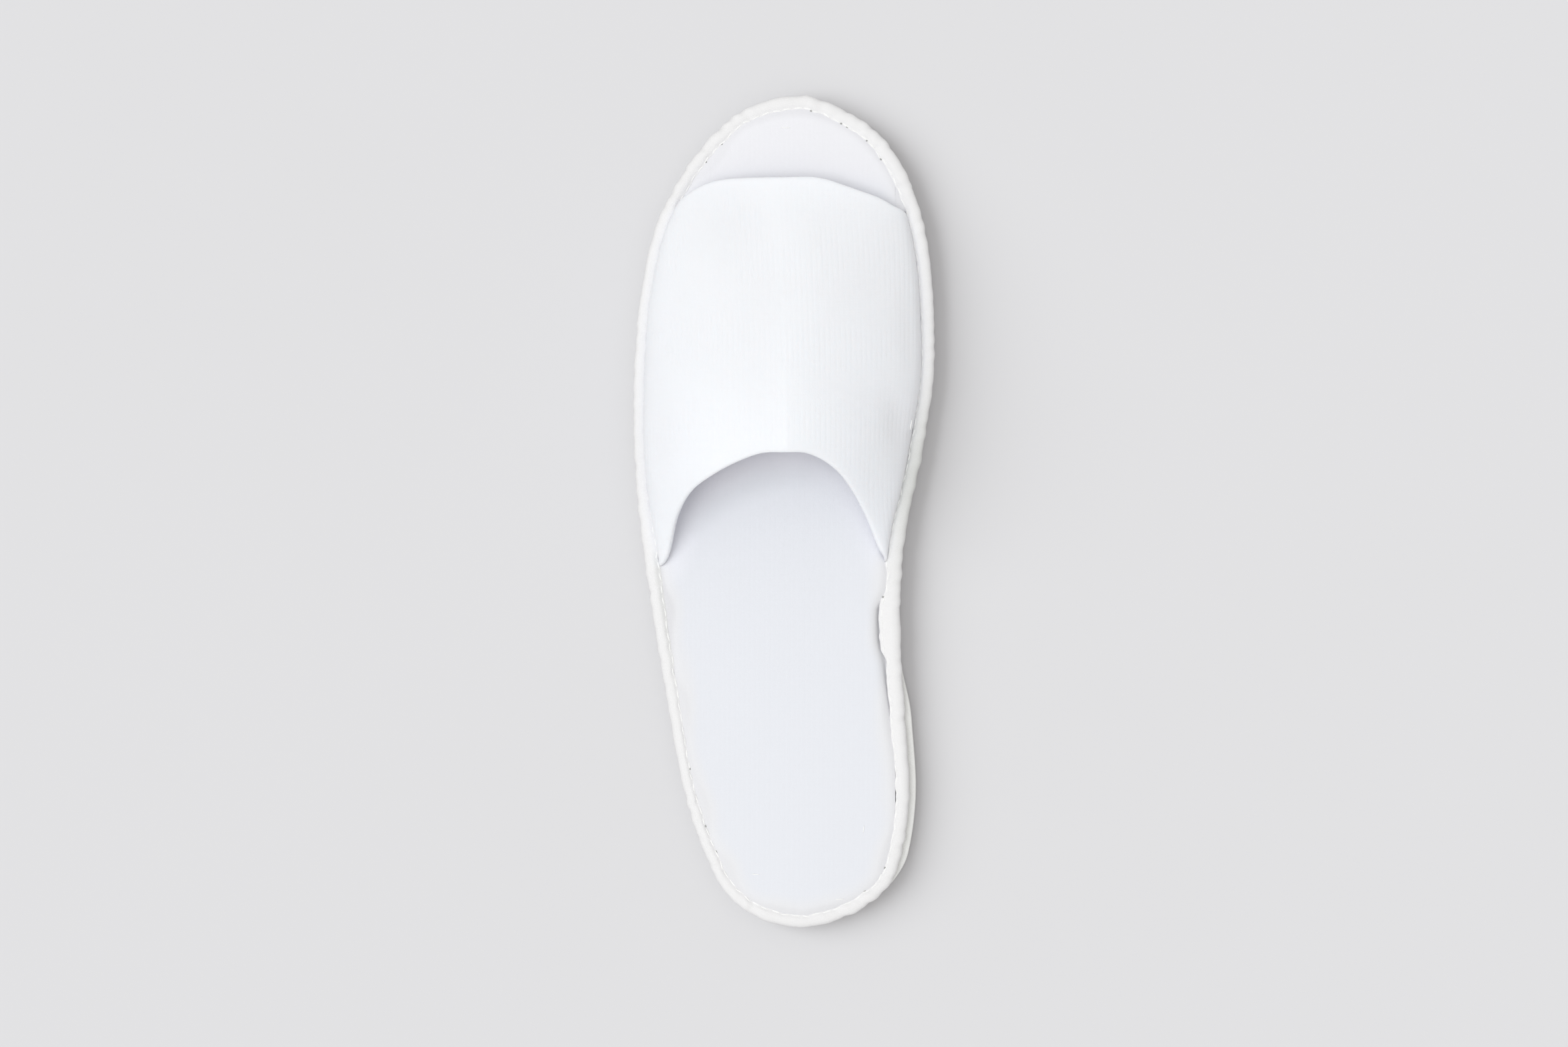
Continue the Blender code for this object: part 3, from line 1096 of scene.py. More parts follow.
class Patterns:
    """The shader node groups that the finishes share, each built once."""

    # Nap is this much finer across the cloth than along it
    NAP_LIES = (1.0, 0.28, 1.0)

    def __init__(self) -> None:
        """Build the groups."""
        self.weave = self._weave()
        self.nap = self._nap()
        self.soil = self._soil()
        self.pores = self._pores()

    @staticmethod
    def _group(
        name: str, inputs: dict[str, float], outputs: Sequence[str]
    ) -> tuple[Wiring, dict[str, Socket], Node]:
        """A new group with a Vector input, number inputs and number outputs.

        Args:
            name: the group's name.
            inputs: each number input and its usual value.
            outputs: the outputs' names.

        Returns:
            The group's wiring, its inputs by name, and its output node.
        """
        tree = bpy.data.node_groups.new(name, "ShaderNodeTree")
        tree.interface.new_socket(name="Vector", in_out="INPUT", socket_type="NodeSocketVector")
        for label, value in inputs.items():
            socket = tree.interface.new_socket(name=label, in_out="INPUT", socket_type="NodeSocketFloat")
            socket.default_value = value
        for label in outputs:
            tree.interface.new_socket(name=label, in_out="OUTPUT", socket_type="NodeSocketFloat")
        wires = Wiring(tree)
        entry, leave = wires.add("NodeGroupInput"), wires.add("NodeGroupOutput")
        return wires, {socket.name: socket for socket in entry.outputs}, leave

    def _weave(self) -> Tree:
        """Plain weave: threads that pass over and under each other, with an uneven yarn.

        Returns:
            The group.
        """
        inputs = {"Threads": 40.0, "Unevenness": 0.3}
        wires, given, leave = self._group("Plain weave", inputs, ("Height",))
        scaled = wires.stretch(given["Vector"], given["Threads"])
        across, along, _ = wires.split(scaled)
        warp = wires.math("SINE", wires.math("MULTIPLY", across, math.pi))
        weft = wires.math("SINE", wires.math("MULTIPLY", along, math.pi))
        over = wires.math("GREATER_THAN", wires.math("MULTIPLY", warp, weft), 0.0)
        threads = wires.add("ShaderNodeMix", data_type="FLOAT")
        wires.feed(threads.inputs["Factor"], over)
        wires.feed(threads.inputs[2], wires.math("ABSOLUTE", warp))
        wires.feed(threads.inputs[3], wires.math("ABSOLUTE", weft))
        yarn = wires.noise(scaled, scale=0.7, detail=3.0)
        rough = wires.math("MULTIPLY", wires.math("SUBTRACT", yarn, 0.5), given["Unevenness"])
        wires.feed(leave.inputs["Height"], wires.math("ADD", threads.outputs[0], rough))
        return wires.tree

    def _nap(self) -> Tree:
        """Brushed nap: short fibres that lie lengthwise, in faint clumps.

        Returns:
            The group.
        """
        inputs = {"Fineness": 300.0, "Clumps": 0.4}
        wires, given, leave = self._group("Brushed nap", inputs, ("Height", "Mask"))
        lying = wires.stretch(given["Vector"], self.NAP_LIES)
        fibres = wires.noise(lying, given["Fineness"], detail=4.0)
        coarse = wires.math("MULTIPLY", given["Fineness"], 0.12)
        clumps = wires.noise(given["Vector"], coarse, detail=3.0)
        pushed = wires.math("MULTIPLY", clumps, given["Clumps"])
        wires.feed(leave.inputs["Height"], wires.math("ADD", fibres, pushed))
        wires.feed(leave.inputs["Mask"], wires.spread(clumps, (0.3, 0.7)))
        return wires.tree

    def _soil(self) -> Tree:
        """Handling: broad faint patches and a few finer ones inside them.

        Returns:
            The group.
        """
        wires, given, leave = self._group("Handling", {"Size": 9.0, "Amount": 0.5}, ("Mask",))
        broad = wires.noise(given["Vector"], given["Size"], detail=2.0)
        finer = wires.math("MULTIPLY", given["Size"], 7.0)
        fine = wires.noise(given["Vector"], finer, detail=5.0)
        inside = wires.spread(fine, (0.3, 0.7), (0.4, 1.0))
        mixed = wires.math("MULTIPLY", wires.spread(broad, (0.35, 0.7)), inside)
        wires.feed(leave.inputs["Mask"], wires.math("MULTIPLY", mixed, given["Amount"]))
        return wires.tree

    def _pores(self) -> Tree:
        """Closed-cell foam: small cut bubbles.

        Returns:
            The group.
        """
        wires, given, leave = self._group("Foam pores", {"Cells": 1800.0}, ("Height", "Mask"))
        cells = wires.add("ShaderNodeTexVoronoi", feature="F1")
        wires.feed(cells.inputs["Vector"], given["Vector"])
        wires.feed(cells.inputs["Scale"], given["Cells"])
        depth = wires.spread(cells.outputs["Distance"], (0.1, 0.55))
        wires.feed(leave.inputs["Height"], depth)
        wires.feed(leave.inputs["Mask"], wires.math("SUBTRACT", 1.0, depth))
        return wires.tree


class Finish:
    """A material as it is made: its shader, its coordinates and how groups are placed in it."""

    def __init__(self, name: str) -> None:
        """Start the material.

        Args:
            name: its name.
        """
        self.material = bpy.data.materials.new(name)
        self.material.use_nodes = True
        self.wires = Wiring(self.material.node_tree)
        self.shader = self.material.node_tree.nodes["Principled BSDF"]
        place = self.wires.add("ShaderNodeTexCoord")
        self.cloth_place = place.outputs["UV"]
        self.solid_place = place.outputs["Object"]

    def group(self, tree: Tree, vector: Socket, **values: float) -> Node:
        """Place a shared group in the material.

        Args:
            tree: the group.
            vector: the coordinates that it reads.
            values: its own numbers, by name.

        Returns:
            The group's node.
        """
        node = self.wires.add("ShaderNodeGroup", node_tree=tree)
        self.wires.feed(node.inputs["Vector"], vector)
        for name, value in values.items():
            self.wires.feed(node.inputs[name], value)
        return node

    def bump(
        self, height: Socket, depth: float, under: Socket | None = None
    ) -> Socket:
        """A bump of a real depth.

        Args:
            height: its height, from 0 to 1.
            depth: how high 1 is, in metres.
            under: the bump that it lies on, or None.

        Returns:
            The bumped normal.
        """
        node = self.wires.add("ShaderNodeBump")
        self.wires.feed(node.inputs["Strength"], 1.0)
        self.wires.feed(node.inputs["Distance"], depth)
        self.wires.feed(node.inputs["Height"], height)
        if under is not None:
            self.wires.feed(node.inputs["Normal"], under)
        return node.outputs["Normal"]

    def shaded(self, **values: object) -> Material:
        """Feed the shader.

        Args:
            values: an output, number or colour for each of its inputs, named with _ for a space.

        Returns:
            The finished material.
        """
        for name, value in values.items():
            self.wires.feed(self.shader.inputs[name.replace("_", " ")], value)
        return self.material


@dataclass(frozen=True)
class Tint:
    """A colour that a cloth takes where a share is noted on it."""

    noted: Noted
    colour: Colour


@dataclass(frozen=True)
class ClothFinish:
    """A cloth, in metres where a field is a depth.

    shade is its colour where handling has soiled it, threads and nap_fineness are how many of them fit in
    the length of the UV map, and tints are laid over the rest in their order; some are painted light and some
    painted shade.
    """

    name: str
    colour: Colour
    shade: Colour
    handling: float
    roughness: float = 0.92
    sheen: float = 0.10
    threads: float = 190.0
    weave_depth: float = 0.02 * MM
    nap_fineness: float = 260.0
    nap_depth: float = 0.03 * MM
    see_through: float = 0.0
    tints: tuple[Tint, ...] = ()
    yarn_unevenness: float = 0.5
    nap_clumps: float = 0.5
    nap_shade: float = 0.10
    soil_size: float = 22.0
    gloss: float = 0.25
    sheen_roughness: float = 0.6

    def build(self, patterns: Patterns) -> Material:
        """The cloth's material.

        Args:
            patterns: the shared groups.

        Returns:
            The material, which reads the piece's own UV map.
        """
        finish = Finish(self.name)
        wires = finish.wires
        cloth = finish.cloth_place
        weave = finish.group(patterns.weave, cloth, Threads=self.threads, Unevenness=self.yarn_unevenness)
        nap = finish.group(patterns.nap, cloth, Fineness=self.nap_fineness, Clumps=self.nap_clumps)
        soil = finish.group(patterns.soil, finish.solid_place, Size=self.soil_size, Amount=self.handling)
        clumped = wires.math("MULTIPLY", nap.outputs["Mask"], self.nap_shade)
        shaded = wires.math("ADD", soil.outputs["Mask"], clumped)
        colour = wires.blend(shaded, (*self.colour, 1.0), (*self.shade, 1.0))
        for tint in self.tints:
            noted = wires.add("ShaderNodeAttribute", attribute_name=tint.noted.value)
            colour = wires.blend(noted.outputs["Fac"], colour, (*tint.colour, 1.0))
        roughness = (self.roughness - 0.05, self.roughness + 0.04)
        normal = finish.bump(weave.outputs["Height"], self.weave_depth)
        return finish.shaded(
            Base_Color=colour,
            Roughness=wires.spread(nap.outputs["Mask"], (0.0, 1.0), roughness),
            Normal=finish.bump(nap.outputs["Height"], self.nap_depth, normal),
            Specular_IOR_Level=self.gloss,
            Sheen_Weight=self.sheen,
            Sheen_Roughness=self.sheen_roughness,
            Subsurface_Weight=self.see_through,
            Subsurface_Scale=SOAK,
            Subsurface_Radius=SOAK_SHARES,
        )


@dataclass(frozen=True)
class FoamFinish:
    """Closed-cell foam sheet: pale, matt, finely pored and a little scuffed where it meets the floor."""

    name: str
    colour: Colour
    scuffed: Colour
    scuff_height: float
    pore_depth: float
    cells: float = 2400.0
    pore_shade: float = 0.08
    soil_size: float = 30.0
    handling: float = 0.9
    roughness: Span = (0.52, 0.72)
    gloss: float = 0.35

    def build(self, patterns: Patterns) -> Material:
        """The foam's material.

        Args:
            patterns: the shared groups.

        Returns:
            The material, which reads Object coordinates.
        """
        finish = Finish(self.name)
        wires = finish.wires
        place = finish.solid_place
        pores = finish.group(patterns.pores, place, Cells=self.cells)
        soil = finish.group(patterns.soil, place, Size=self.soil_size, Amount=self.handling)
        _, _, height = wires.split(place)
        low = wires.spread(height, (0.0, self.scuff_height), (1.0, 0.0))
        scuff = wires.math("MULTIPLY", low, soil.outputs["Mask"])
        pored = wires.math("MULTIPLY", pores.outputs["Mask"], self.pore_shade)
        dull = wires.math("ADD", scuff, pored)
        return finish.shaded(
            Base_Color=wires.blend(dull, (*self.colour, 1.0), (*self.scuffed, 1.0)),
            Roughness=wires.spread(soil.outputs["Mask"], (0.0, 1.0), self.roughness),
            Normal=finish.bump(pores.outputs["Height"], self.pore_depth),
            Specular_IOR_Level=self.gloss,
        )


@dataclass(frozen=True)
class ThreadFinish:
    """Thread, or the shadow in a needle's hole: one colour that varies a little along it."""

    name: str
    colour: Colour
    shade: Colour
    roughness: float
    fineness: float = 2600.0
    clumps: float = 0.3
    depth: float = 0.03 * MM

    def build(self, patterns: Patterns) -> Material:
        """The thread's material.

        Args:
            patterns: the shared groups.

        Returns:
            The material, which reads Object coordinates.
        """
        finish = Finish(self.name)
        nap = finish.group(patterns.nap, finish.solid_place, Fineness=self.fineness, Clumps=self.clumps)
        colour = finish.wires.blend(nap.outputs["Mask"], (*self.colour, 1.0), (*self.shade, 1.0))
        normal = finish.bump(nap.outputs["Height"], self.depth)
        return finish.shaded(Base_Color=colour, Normal=normal, Roughness=self.roughness)


@dataclass(frozen=True)
class FloorFinish:
    """The studio's plain pale floor."""

    name: str
    colour: Colour
    mottle: Colour
    mottle_size: float = 4.0
    mottle_amount: float = 0.5
    roughness: float = 0.85
    gloss: float = 0.1

    def build(self, patterns: Patterns) -> Material:
        """The floor's material.

        Args:
            patterns: the shared groups.

        Returns:
            The material, which reads Object coordinates.
        """
        finish = Finish(self.name)
        soil = finish.group(
            patterns.soil, finish.solid_place, Size=self.mottle_size, Amount=self.mottle_amount
        )
        colour = finish.wires.blend(soil.outputs["Mask"], (*self.colour, 1.0), (*self.mottle, 1.0))
        return finish.shaded(Base_Color=colour, Roughness=self.roughness, Specular_IOR_Level=self.gloss)


class Finishes:
    """Every finish of the slipper, built once."""

    def __init__(self) -> None:
        """Build the finishes from the shared groups."""
        patterns = Patterns()
        self.vamp = ClothFinish(
            name="vamp cloth",
            colour=(0.878, 0.910, 0.990),
            shade=(0.855, 0.888, 0.97),
            handling=0.2,
            roughness=0.60,
            see_through=0.6,
            # Painted shade: darker patches on the vamp's sloping sides
            tints=(Tint(Noted.WORN, (0.80, 0.822, 0.868)),),
        ).build(patterns)
        self.lining = ClothFinish(
            name="vamp lining",
            colour=(0.896, 0.900, 0.970),
            shade=(0.87, 0.875, 0.95),
            handling=0.2,
            threads=150.0,
            weave_depth=0.05 * MM,
            nap_fineness=200.0,
            nap_depth=0.04 * MM,
            see_through=1.0,
        ).build(patterns)
        self.footbed = ClothFinish(
            name="footbed cloth",
            colour=(0.752, 0.765, 0.811),
            shade=(0.734, 0.746, 0.789),
            handling=0.25,
            tints=(
                # Painted light: brighter under and just behind the vamp's collar, where its shadow falls
                Tint(Noted.CLEAN, (0.880, 0.872, 0.925)),
                Tint(Noted.RING, (0.768, 0.768, 0.790)),
                # Painted light: the footbed is paler towards the toe
                Tint(Noted.TOE, (0.806, 0.804, 0.838)),
                # Painted shade: darker in the valley along the tape, more on the outer side's dip
                Tint(Noted.SEAM, (0.658, 0.654, 0.680)),
            ),
        ).build(patterns)
        self.tape = ClothFinish(
            name="binding tape",
            colour=(0.838, 0.832, 0.840),
            shade=(0.81, 0.80, 0.80),
            handling=0.4,
            roughness=0.82,
            sheen=0.08,
            threads=230.0,
            weave_depth=0.04 * MM,
            nap_fineness=240.0,
            nap_depth=0.02 * MM,
            # Painted shade: the vamp's shadow on the tape on the arch side, and the tape's inner fold on the
            # outer side's dip
            tints=(Tint(Noted.GRUBBY, (0.672, 0.678, 0.664)),),
        ).build(patterns)
        self.foam = FoamFinish(
            name="white foam",
            # Painted shade: the white foam is set a light grey for the strip of outsole that shows in the
            # tape's shade
            colour=(0.78, 0.78, 0.765),
            scuffed=(0.62, 0.61, 0.58),
            scuff_height=2.2 * MM,
            pore_depth=0.05 * MM,
        ).build(patterns)
        self.thread = ThreadFinish(
            name="sewing thread",
            colour=(0.92, 0.92, 0.91),
            shade=(0.84, 0.84, 0.83),
            roughness=0.6,
        ).build(patterns)
        # Painted shadow: the dark inside of an open needle hole
        self.hole = ThreadFinish(
            name="needle hole",
            colour=(0.30, 0.30, 0.29),
            shade=(0.42, 0.42, 0.41),
            roughness=1.0,
        ).build(patterns)
        self.floor = FloorFinish(
            name="studio floor",
            colour=(0.632, 0.624, 0.642),
            mottle=(0.622, 0.614, 0.63),
        ).build(patterns)


# ---- Outsole ----


@dataclass
class Outsole:
    """The foam sheet that stands on the floor: its plate, and the small studs of its tread."""

    form: Form
    finishes: Finishes
    set_in: float = 0.5 * MM
    flare: float = 2.7 * MM
    flare_starts: Span = (0.035, 0.09)
    flare_ends: Span = (0.25, 0.33)
    edge_round: float = 0.6 * MM
    stud_height: float = 0.45 * MM
    stud_radius: float = 1.25 * MM
    stud_taper: float = 0.72
    stud_lift: float = 0.02 * MM
    stud_pitch: float = 4.4 * MM
    stud_stagger_deg: float = 60.0
    stud_margin: float = 4.2 * MM
    places: int = 480
    margin_places: int = 1200

    def __post_init__(self) -> None:
        """Read the sheet's foot and top from the frame."""
        low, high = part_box("outsole")
        self.floor, self.top = low.z, high.z

    def reach(self, loop: Loop) -> np.ndarray:
        """How far in from the outline the plate's side stands.

        Args:
            loop: the places round the outline.

        Returns:
            The distance at each, which is less than nothing where the heel flares.
        """
        along = self.form.along(loop.points[:, 1])
        medial = loop.points[:, 0] > self.form.middle[0]
        flare = smooth(along, *self.flare_starts) * (1 - smooth(along, *self.flare_ends)) * medial
        return self.set_in - self.flare * flare

    def plate(self) -> None:
        """The sheet: a disc drawn out to the outline, pulled up to its thickness, its edges rounded."""
        loop = self.form.loop(self.places)
        ring = loop.ring(self.reach(loop))
        Bench.clear()
        bpy.ops.mesh.primitive_circle_add(vertices=self.places, radius=self.form.width / 2, fill_type="NGON")
        piece = Bench.started("outsole_plate")
        low = self.floor + self.stud_height
        points = np.column_stack((ring, np.full(len(ring), low)))
        piece.data.vertices.foreach_set("co", points.astype(np.float32).ravel())
        piece.data.update()
        Bench.edit(piece, Part.FACE)
        bpy.ops.mesh.select_all(action="SELECT")
        bpy.ops.mesh.extrude_region_move(TRANSFORM_OT_translate={"value": (0, 0, self.top - low)})
        bpy.ops.mesh.select_all(action="SELECT")
        bpy.ops.mesh.normals_make_consistent(inside=False)
        Bench.pick(piece, Part.EDGE, lambda middle, way: abs(way.z) < 0.5)
        bpy.ops.mesh.bevel(offset=self.edge_round, segments=3, profile=0.6, affect="EDGES")
        Bench.finish(piece)
        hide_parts("outsole")
        Bench.dress(piece, Slot.FOAM, self.finishes.foam)

    def studs(self) -> None:
        """The tread: low round studs in staggered rows, as far out as a bare margin."""
        Bench.clear()
        bpy.ops.mesh.primitive_cylinder_add(
            vertices=8, radius=self.stud_radius, depth=self.stud_height, location=(0, 0, self.stud_height / 2)
        )
        pattern = Bench.started("stud")
        Bench.pick(pattern, Part.FACE, lambda middle, normal: normal.z < -0.5)
        bpy.ops.transform.resize(value=(self.stud_taper, self.stud_taper, 1.0))
        bpy.ops.object.mode_set(mode="OBJECT")
        row_pitch = self.stud_pitch * math.sin(math.radians(self.stud_stagger_deg))
        rows = int(self.form.length / row_pitch)
        columns = int(self.form.width / self.stud_pitch)
        j, k = np.mgrid[0:rows, 0:columns]
        x = self.form.middle[0] + (k - columns / 2 + 0.5 * (j % 2)) * self.stud_pitch
        y = self.form.middle[1] + (j - rows / 2 + 0.5) * row_pitch
        depth, _ = self.form.inset(x, y, self.form.loop(self.margin_places))
        kept = depth > self.stud_margin
        lift = self.floor + self.stud_lift
        places = [Matrix.Translation((px, py, lift)) for px, py in zip(x[kept], y[kept])]
        piece = Bench.copies("outsole_tread", pattern, places)
        Bench.dress(piece, Slot.FOAM, self.finishes.foam)

    def build(self) -> None:
        """Both pieces."""
        self.plate()
        self.studs()


# ---- Footbed ----


@dataclass
class Footbed:
    """The cushioned insole under its ribbed cloth.

    Its sizes and stretches are metres, but pale_toe and covered are shares of the length. rows_bunched is
    how much closer its rows lie at the toe and the heel.
    """

    form: Form
    finishes: Finishes
    rib_pitch: float = 1.7 * MM
    rib_steps: int = 6
    rib_relief: float = 0.022 * MM
    rows: int = 150
    rows_bunched: float = 0.4
    border: float = 1.5 * MM
    edge_spare: float = 0.5 * MM
    rim_under_tape: float = 3.3 * MM
    rim_under_vamp: float = 2.4 * MM
    cushion: float = 4.7 * MM
    crown: float = 0.8 * MM
    shoulder: float = 3.6 * MM
    shoulder_curve: float = 2.4
    clear_of_vamp: float = 1.7 * MM
    tucked_under: float = 1.1 * MM
    waist_grows: Span = (-84 * MM, -50 * MM)
    waist_ends: Span = (-34 * MM, -28 * MM)
    waist_gap: float = 1.5 * MM
    waist_drop: float = 0.9 * MM
    worn_gap: float = 0.3 * MM
    gathers: Waves = Waves(4.0, 14.0, 0.12, 5)
    gathers_fade: float = 2.2 * MM
    dents: tuple[Ground, Ground] = (Ground(46.0, 0.10, 8), Ground(17.0, 0.03, 9))
    covered: Span = (-0.016, -0.004)
    bottom: float = 1.2 * MM
    rim_uneven: Ground = Ground(22.0, 1.0, 41)
    ring_fades: Span = (1.0 * MM, 7.0 * MM)
    # Painted shade in the valley along the tape: its fade, its strength, and how much more it takes on the
    # outer side's dip
    seam_fades: Span = (0.4 * MM, 2.6 * MM)
    seam_shade: float = 0.25
    seam_wear: float = 0.4
    # Painted light: where the footbed turns paler towards the toe
    pale_toe: Span = (0.84, 0.92)
    # Painted light under the vamp's collar: how far it fades behind the collar, how much it weakens towards
    # each side, and where it ends towards the toe
    shelter_fade: float = 10.0 * MM
    shelter_medial: Span = (0.0, 22.0 * MM)
    shelter_medial_loss: float = 0.7
    shelter_lateral: Span = (22.0 * MM, 36.0 * MM)
    shelter_lateral_loss: float = 0.5
    shelter_ends: Span = (40.0 * MM, 70.0 * MM)
    thread_width: float = 0.16 * MM
    thread_height: float = 0.14 * MM
    thread_lift: float = 0.12 * MM

    def spans(self, columns: np.ndarray, loop: Loop) -> tuple[np.ndarray, np.ndarray]:
        """Where each lengthwise rib of the cloth starts and ends.

        Args:
            columns: the ribs' places across.
            loop: the outline, finely cut.

        Returns:
            The first and the last y of each. A rib that the arch's waist cuts in two keeps its front part.
        """
        ring = loop.ring(self.border)
        onward = np.roll(ring, -1, axis=0)
        starts, ends = [], []
        for x in columns:
            crossed = (ring[:, 0] - x) * (onward[:, 0] - x) < 0
            share = (x - ring[crossed, 0]) / (onward[crossed, 0] - ring[crossed, 0])
            y = np.sort(ring[crossed, 1] + share * (onward[crossed, 1] - ring[crossed, 1]))
            starts.append(y[-2] if x > self.form.middle[0] and len(y) > 2 else y[0])
            ends.append(y[-1])
        return np.array(starts), np.array(ends)

    def height(self, x: np.ndarray, y: np.ndarray, loop: Loop) -> np.ndarray:
        """The cloth's height: pressed thin under the tape, padded up inside it, faintly crowned and uneven.

        Args:
            x: where across.
            y: where along.
            loop: the outline, finely cut.

        Returns:
            The height above the floor at each place.
        """
        form = self.form
        depth, nearest = form.inset(x, y, loop)
        cover = form.cover(form.along(y), *self.covered)
        rim = form.tape_foot + self.rim_under_tape + (self.rim_under_vamp - self.rim_under_tape) * cover
        top = form.tape_foot + self.cushion
        start = form.fold(loop.points)[nearest] - self.tucked_under + self.clear_of_vamp * cover
        waist = smooth(y, *self.waist_grows) * (1 - smooth(y, *self.waist_ends)) * (x > 0)
        start = start + self.waist_gap * waist + self.worn_gap * form.worn_side(x, y)
        rim = rim - self.waist_drop * waist
        share = np.clip((depth - start) / self.shoulder, 0, 1)
        padded = 1 - (1 - share) ** self.shoulder_curve
        lateral, _ = form.edge(Side.LATERAL, y)
        medial, _ = form.edge(Side.MEDIAL, y)
        width = np.maximum(medial - lateral, 1 * MM)
        across = np.clip((x - lateral) / width, 0, 1)
        crown = self.crown * np.minimum(1, 2 * width / form.width) * np.sin(np.pi * across)
        beside = np.exp(-np.maximum(depth - start, 0) / self.gathers_fade) * np.sqrt(share)
        gathered = self.gathers.read(loop.run, loop.whole)[nearest]
        uneven = sum(dents.read(x, y) for dents in self.dents)
        ribs = ribbed(x, self.rib_pitch) * self.rib_relief
        return rim + (top - rim) * padded + crown * share + gathered * beside + (uneven + ribs) * share

    def cloth(self) -> None:
        """The cloth laid rib by rib over the cushion, its rim turned down and closed underneath."""
        form = self.form
        loop = form.loop(FINE_OUTLINE)
        ring = loop.ring(self.border)
        step = self.rib_pitch / self.rib_steps
        first = math.ceil((ring[:, 0].min() + self.edge_spare) / step)
        last = math.floor((ring[:, 0].max() - self.edge_spare) / step)
        columns = np.arange(first, last + 1) * step
        starts, ends = self.spans(columns, loop)
        t = np.linspace(0, 1, self.rows)
        t = t - self.rows_bunched * np.sin(2 * np.pi * t) / (2 * np.pi)
        x = np.broadcast_to(columns, (self.rows, len(columns)))
        y = starts + (ends - starts) * t[:, None]
        points = np.stack((x, y, self.height(x, y, loop)), axis=2)
        piece = Bench.blank("footbed_cloth", points, points[:, :, :2])
        self.note_wear(piece, loop)
        Bench.edit(piece, Part.EDGE)
        bpy.ops.mesh.select_non_manifold(extend=False, use_boundary=True)
        base = form.tape_foot + self.bottom
        bpy.ops.mesh.extrude_edges_move(TRANSFORM_OT_translate={"value": (0, 0, -1 * MM)})
        bpy.ops.transform.resize(value=(1, 1, 0), center_override=(0, 0, base))
        bpy.ops.mesh.edge_face_add()
        Bench.finish(piece, angle_deg=60)
        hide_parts("footbed")
        Bench.dress(piece, Slot.FOOTBED, self.finishes.footbed)

    def note_wear(self, piece: Piece, loop: Loop) -> None:
        """Note the painted light under the vamp's collar and at the toe, the band stretched by the tape, and
        the painted shade along it.

        Args:
            piece: the cloth, still without its underside.
            loop: the outline, finely cut.
        """
        x, y = Bench.plan(piece)
        depth, nearest = self.form.inset(x, y, loop)
        away = depth - self.form.fold(loop.points)[nearest] + self.rim_uneven.read(x, y)
        # Painted shade along the tape's fold, deeper on the outer side's dip
        shaded = self.seam_shade + self.seam_wear * self.form.worn_side(x, y)
        Bench.note(piece, Noted.RING, 1 - smooth(away, *self.ring_fades))
        Bench.note(piece, Noted.SEAM, (1 - smooth(away, *self.seam_fades)) * shaded)
        # Painted light towards the toe
        Bench.note(piece, Noted.TOE, smooth(self.form.along(y), *self.pale_toe))
        # Painted light under the vamp's collar
        Bench.note(piece, Noted.CLEAN, self.sheltered(x, y))

    def sheltered(self, x: np.ndarray, y: np.ndarray) -> np.ndarray:
        """Painted light on the cloth where the vamp's collar shades it: most under the middle of its collar,
        fading out behind it.

        Args:
            x: where across.
            y: where along.

        Returns:
            The share at each place.
        """
        edge = VampCut(self.form).plan_edge(End.COLLAR)
        order = np.argsort(edge[:, 0])
        behind = np.interp(x, edge[order, 0], edge[order, 1]) > y
        away = np.hypot(x[:, None] - edge[:, 0], y[:, None] - edge[:, 1]).min(axis=1)
        kept = 1 - smooth(np.where(behind, away, 0), 0, self.shelter_fade)
        kept = kept * (1 - self.shelter_medial_loss * smooth(x, *self.shelter_medial))
        kept = kept * (1 - self.shelter_lateral_loss * smooth(-x, *self.shelter_lateral))
        return kept * (1 - smooth(y, *self.shelter_ends))

    def threads(self) -> None:
        """A few short loose threads that lie on the cloth."""
        loop = self.form.loop(FINE_OUTLINE)
        places = []
        for mark in LOOSE_THREADS:
            x, y = mark.x * MM, mark.y * MM
            z = float(self.height(np.array([x]), np.array([y]), loop)[0])
            turn = Matrix.Rotation(math.radians(mark.turn_deg), 4, "Z")
            size = Matrix.Diagonal((mark.length * MM / 2, self.thread_width, self.thread_height, 1.0))
            places.append(Matrix.Translation((x, y, z + self.thread_lift)) @ turn @ size)
        pattern = Bench.bead("loose_thread", segments=10, rings=8, radius=1.0)
        piece = Bench.copies("loose_threads", pattern, places)
        Bench.dress(piece, Slot.FOOTBED, self.finishes.thread)

    def build(self) -> None:
        """Both pieces."""
        self.cloth()
        self.threads()


# ---- Edge binding ----


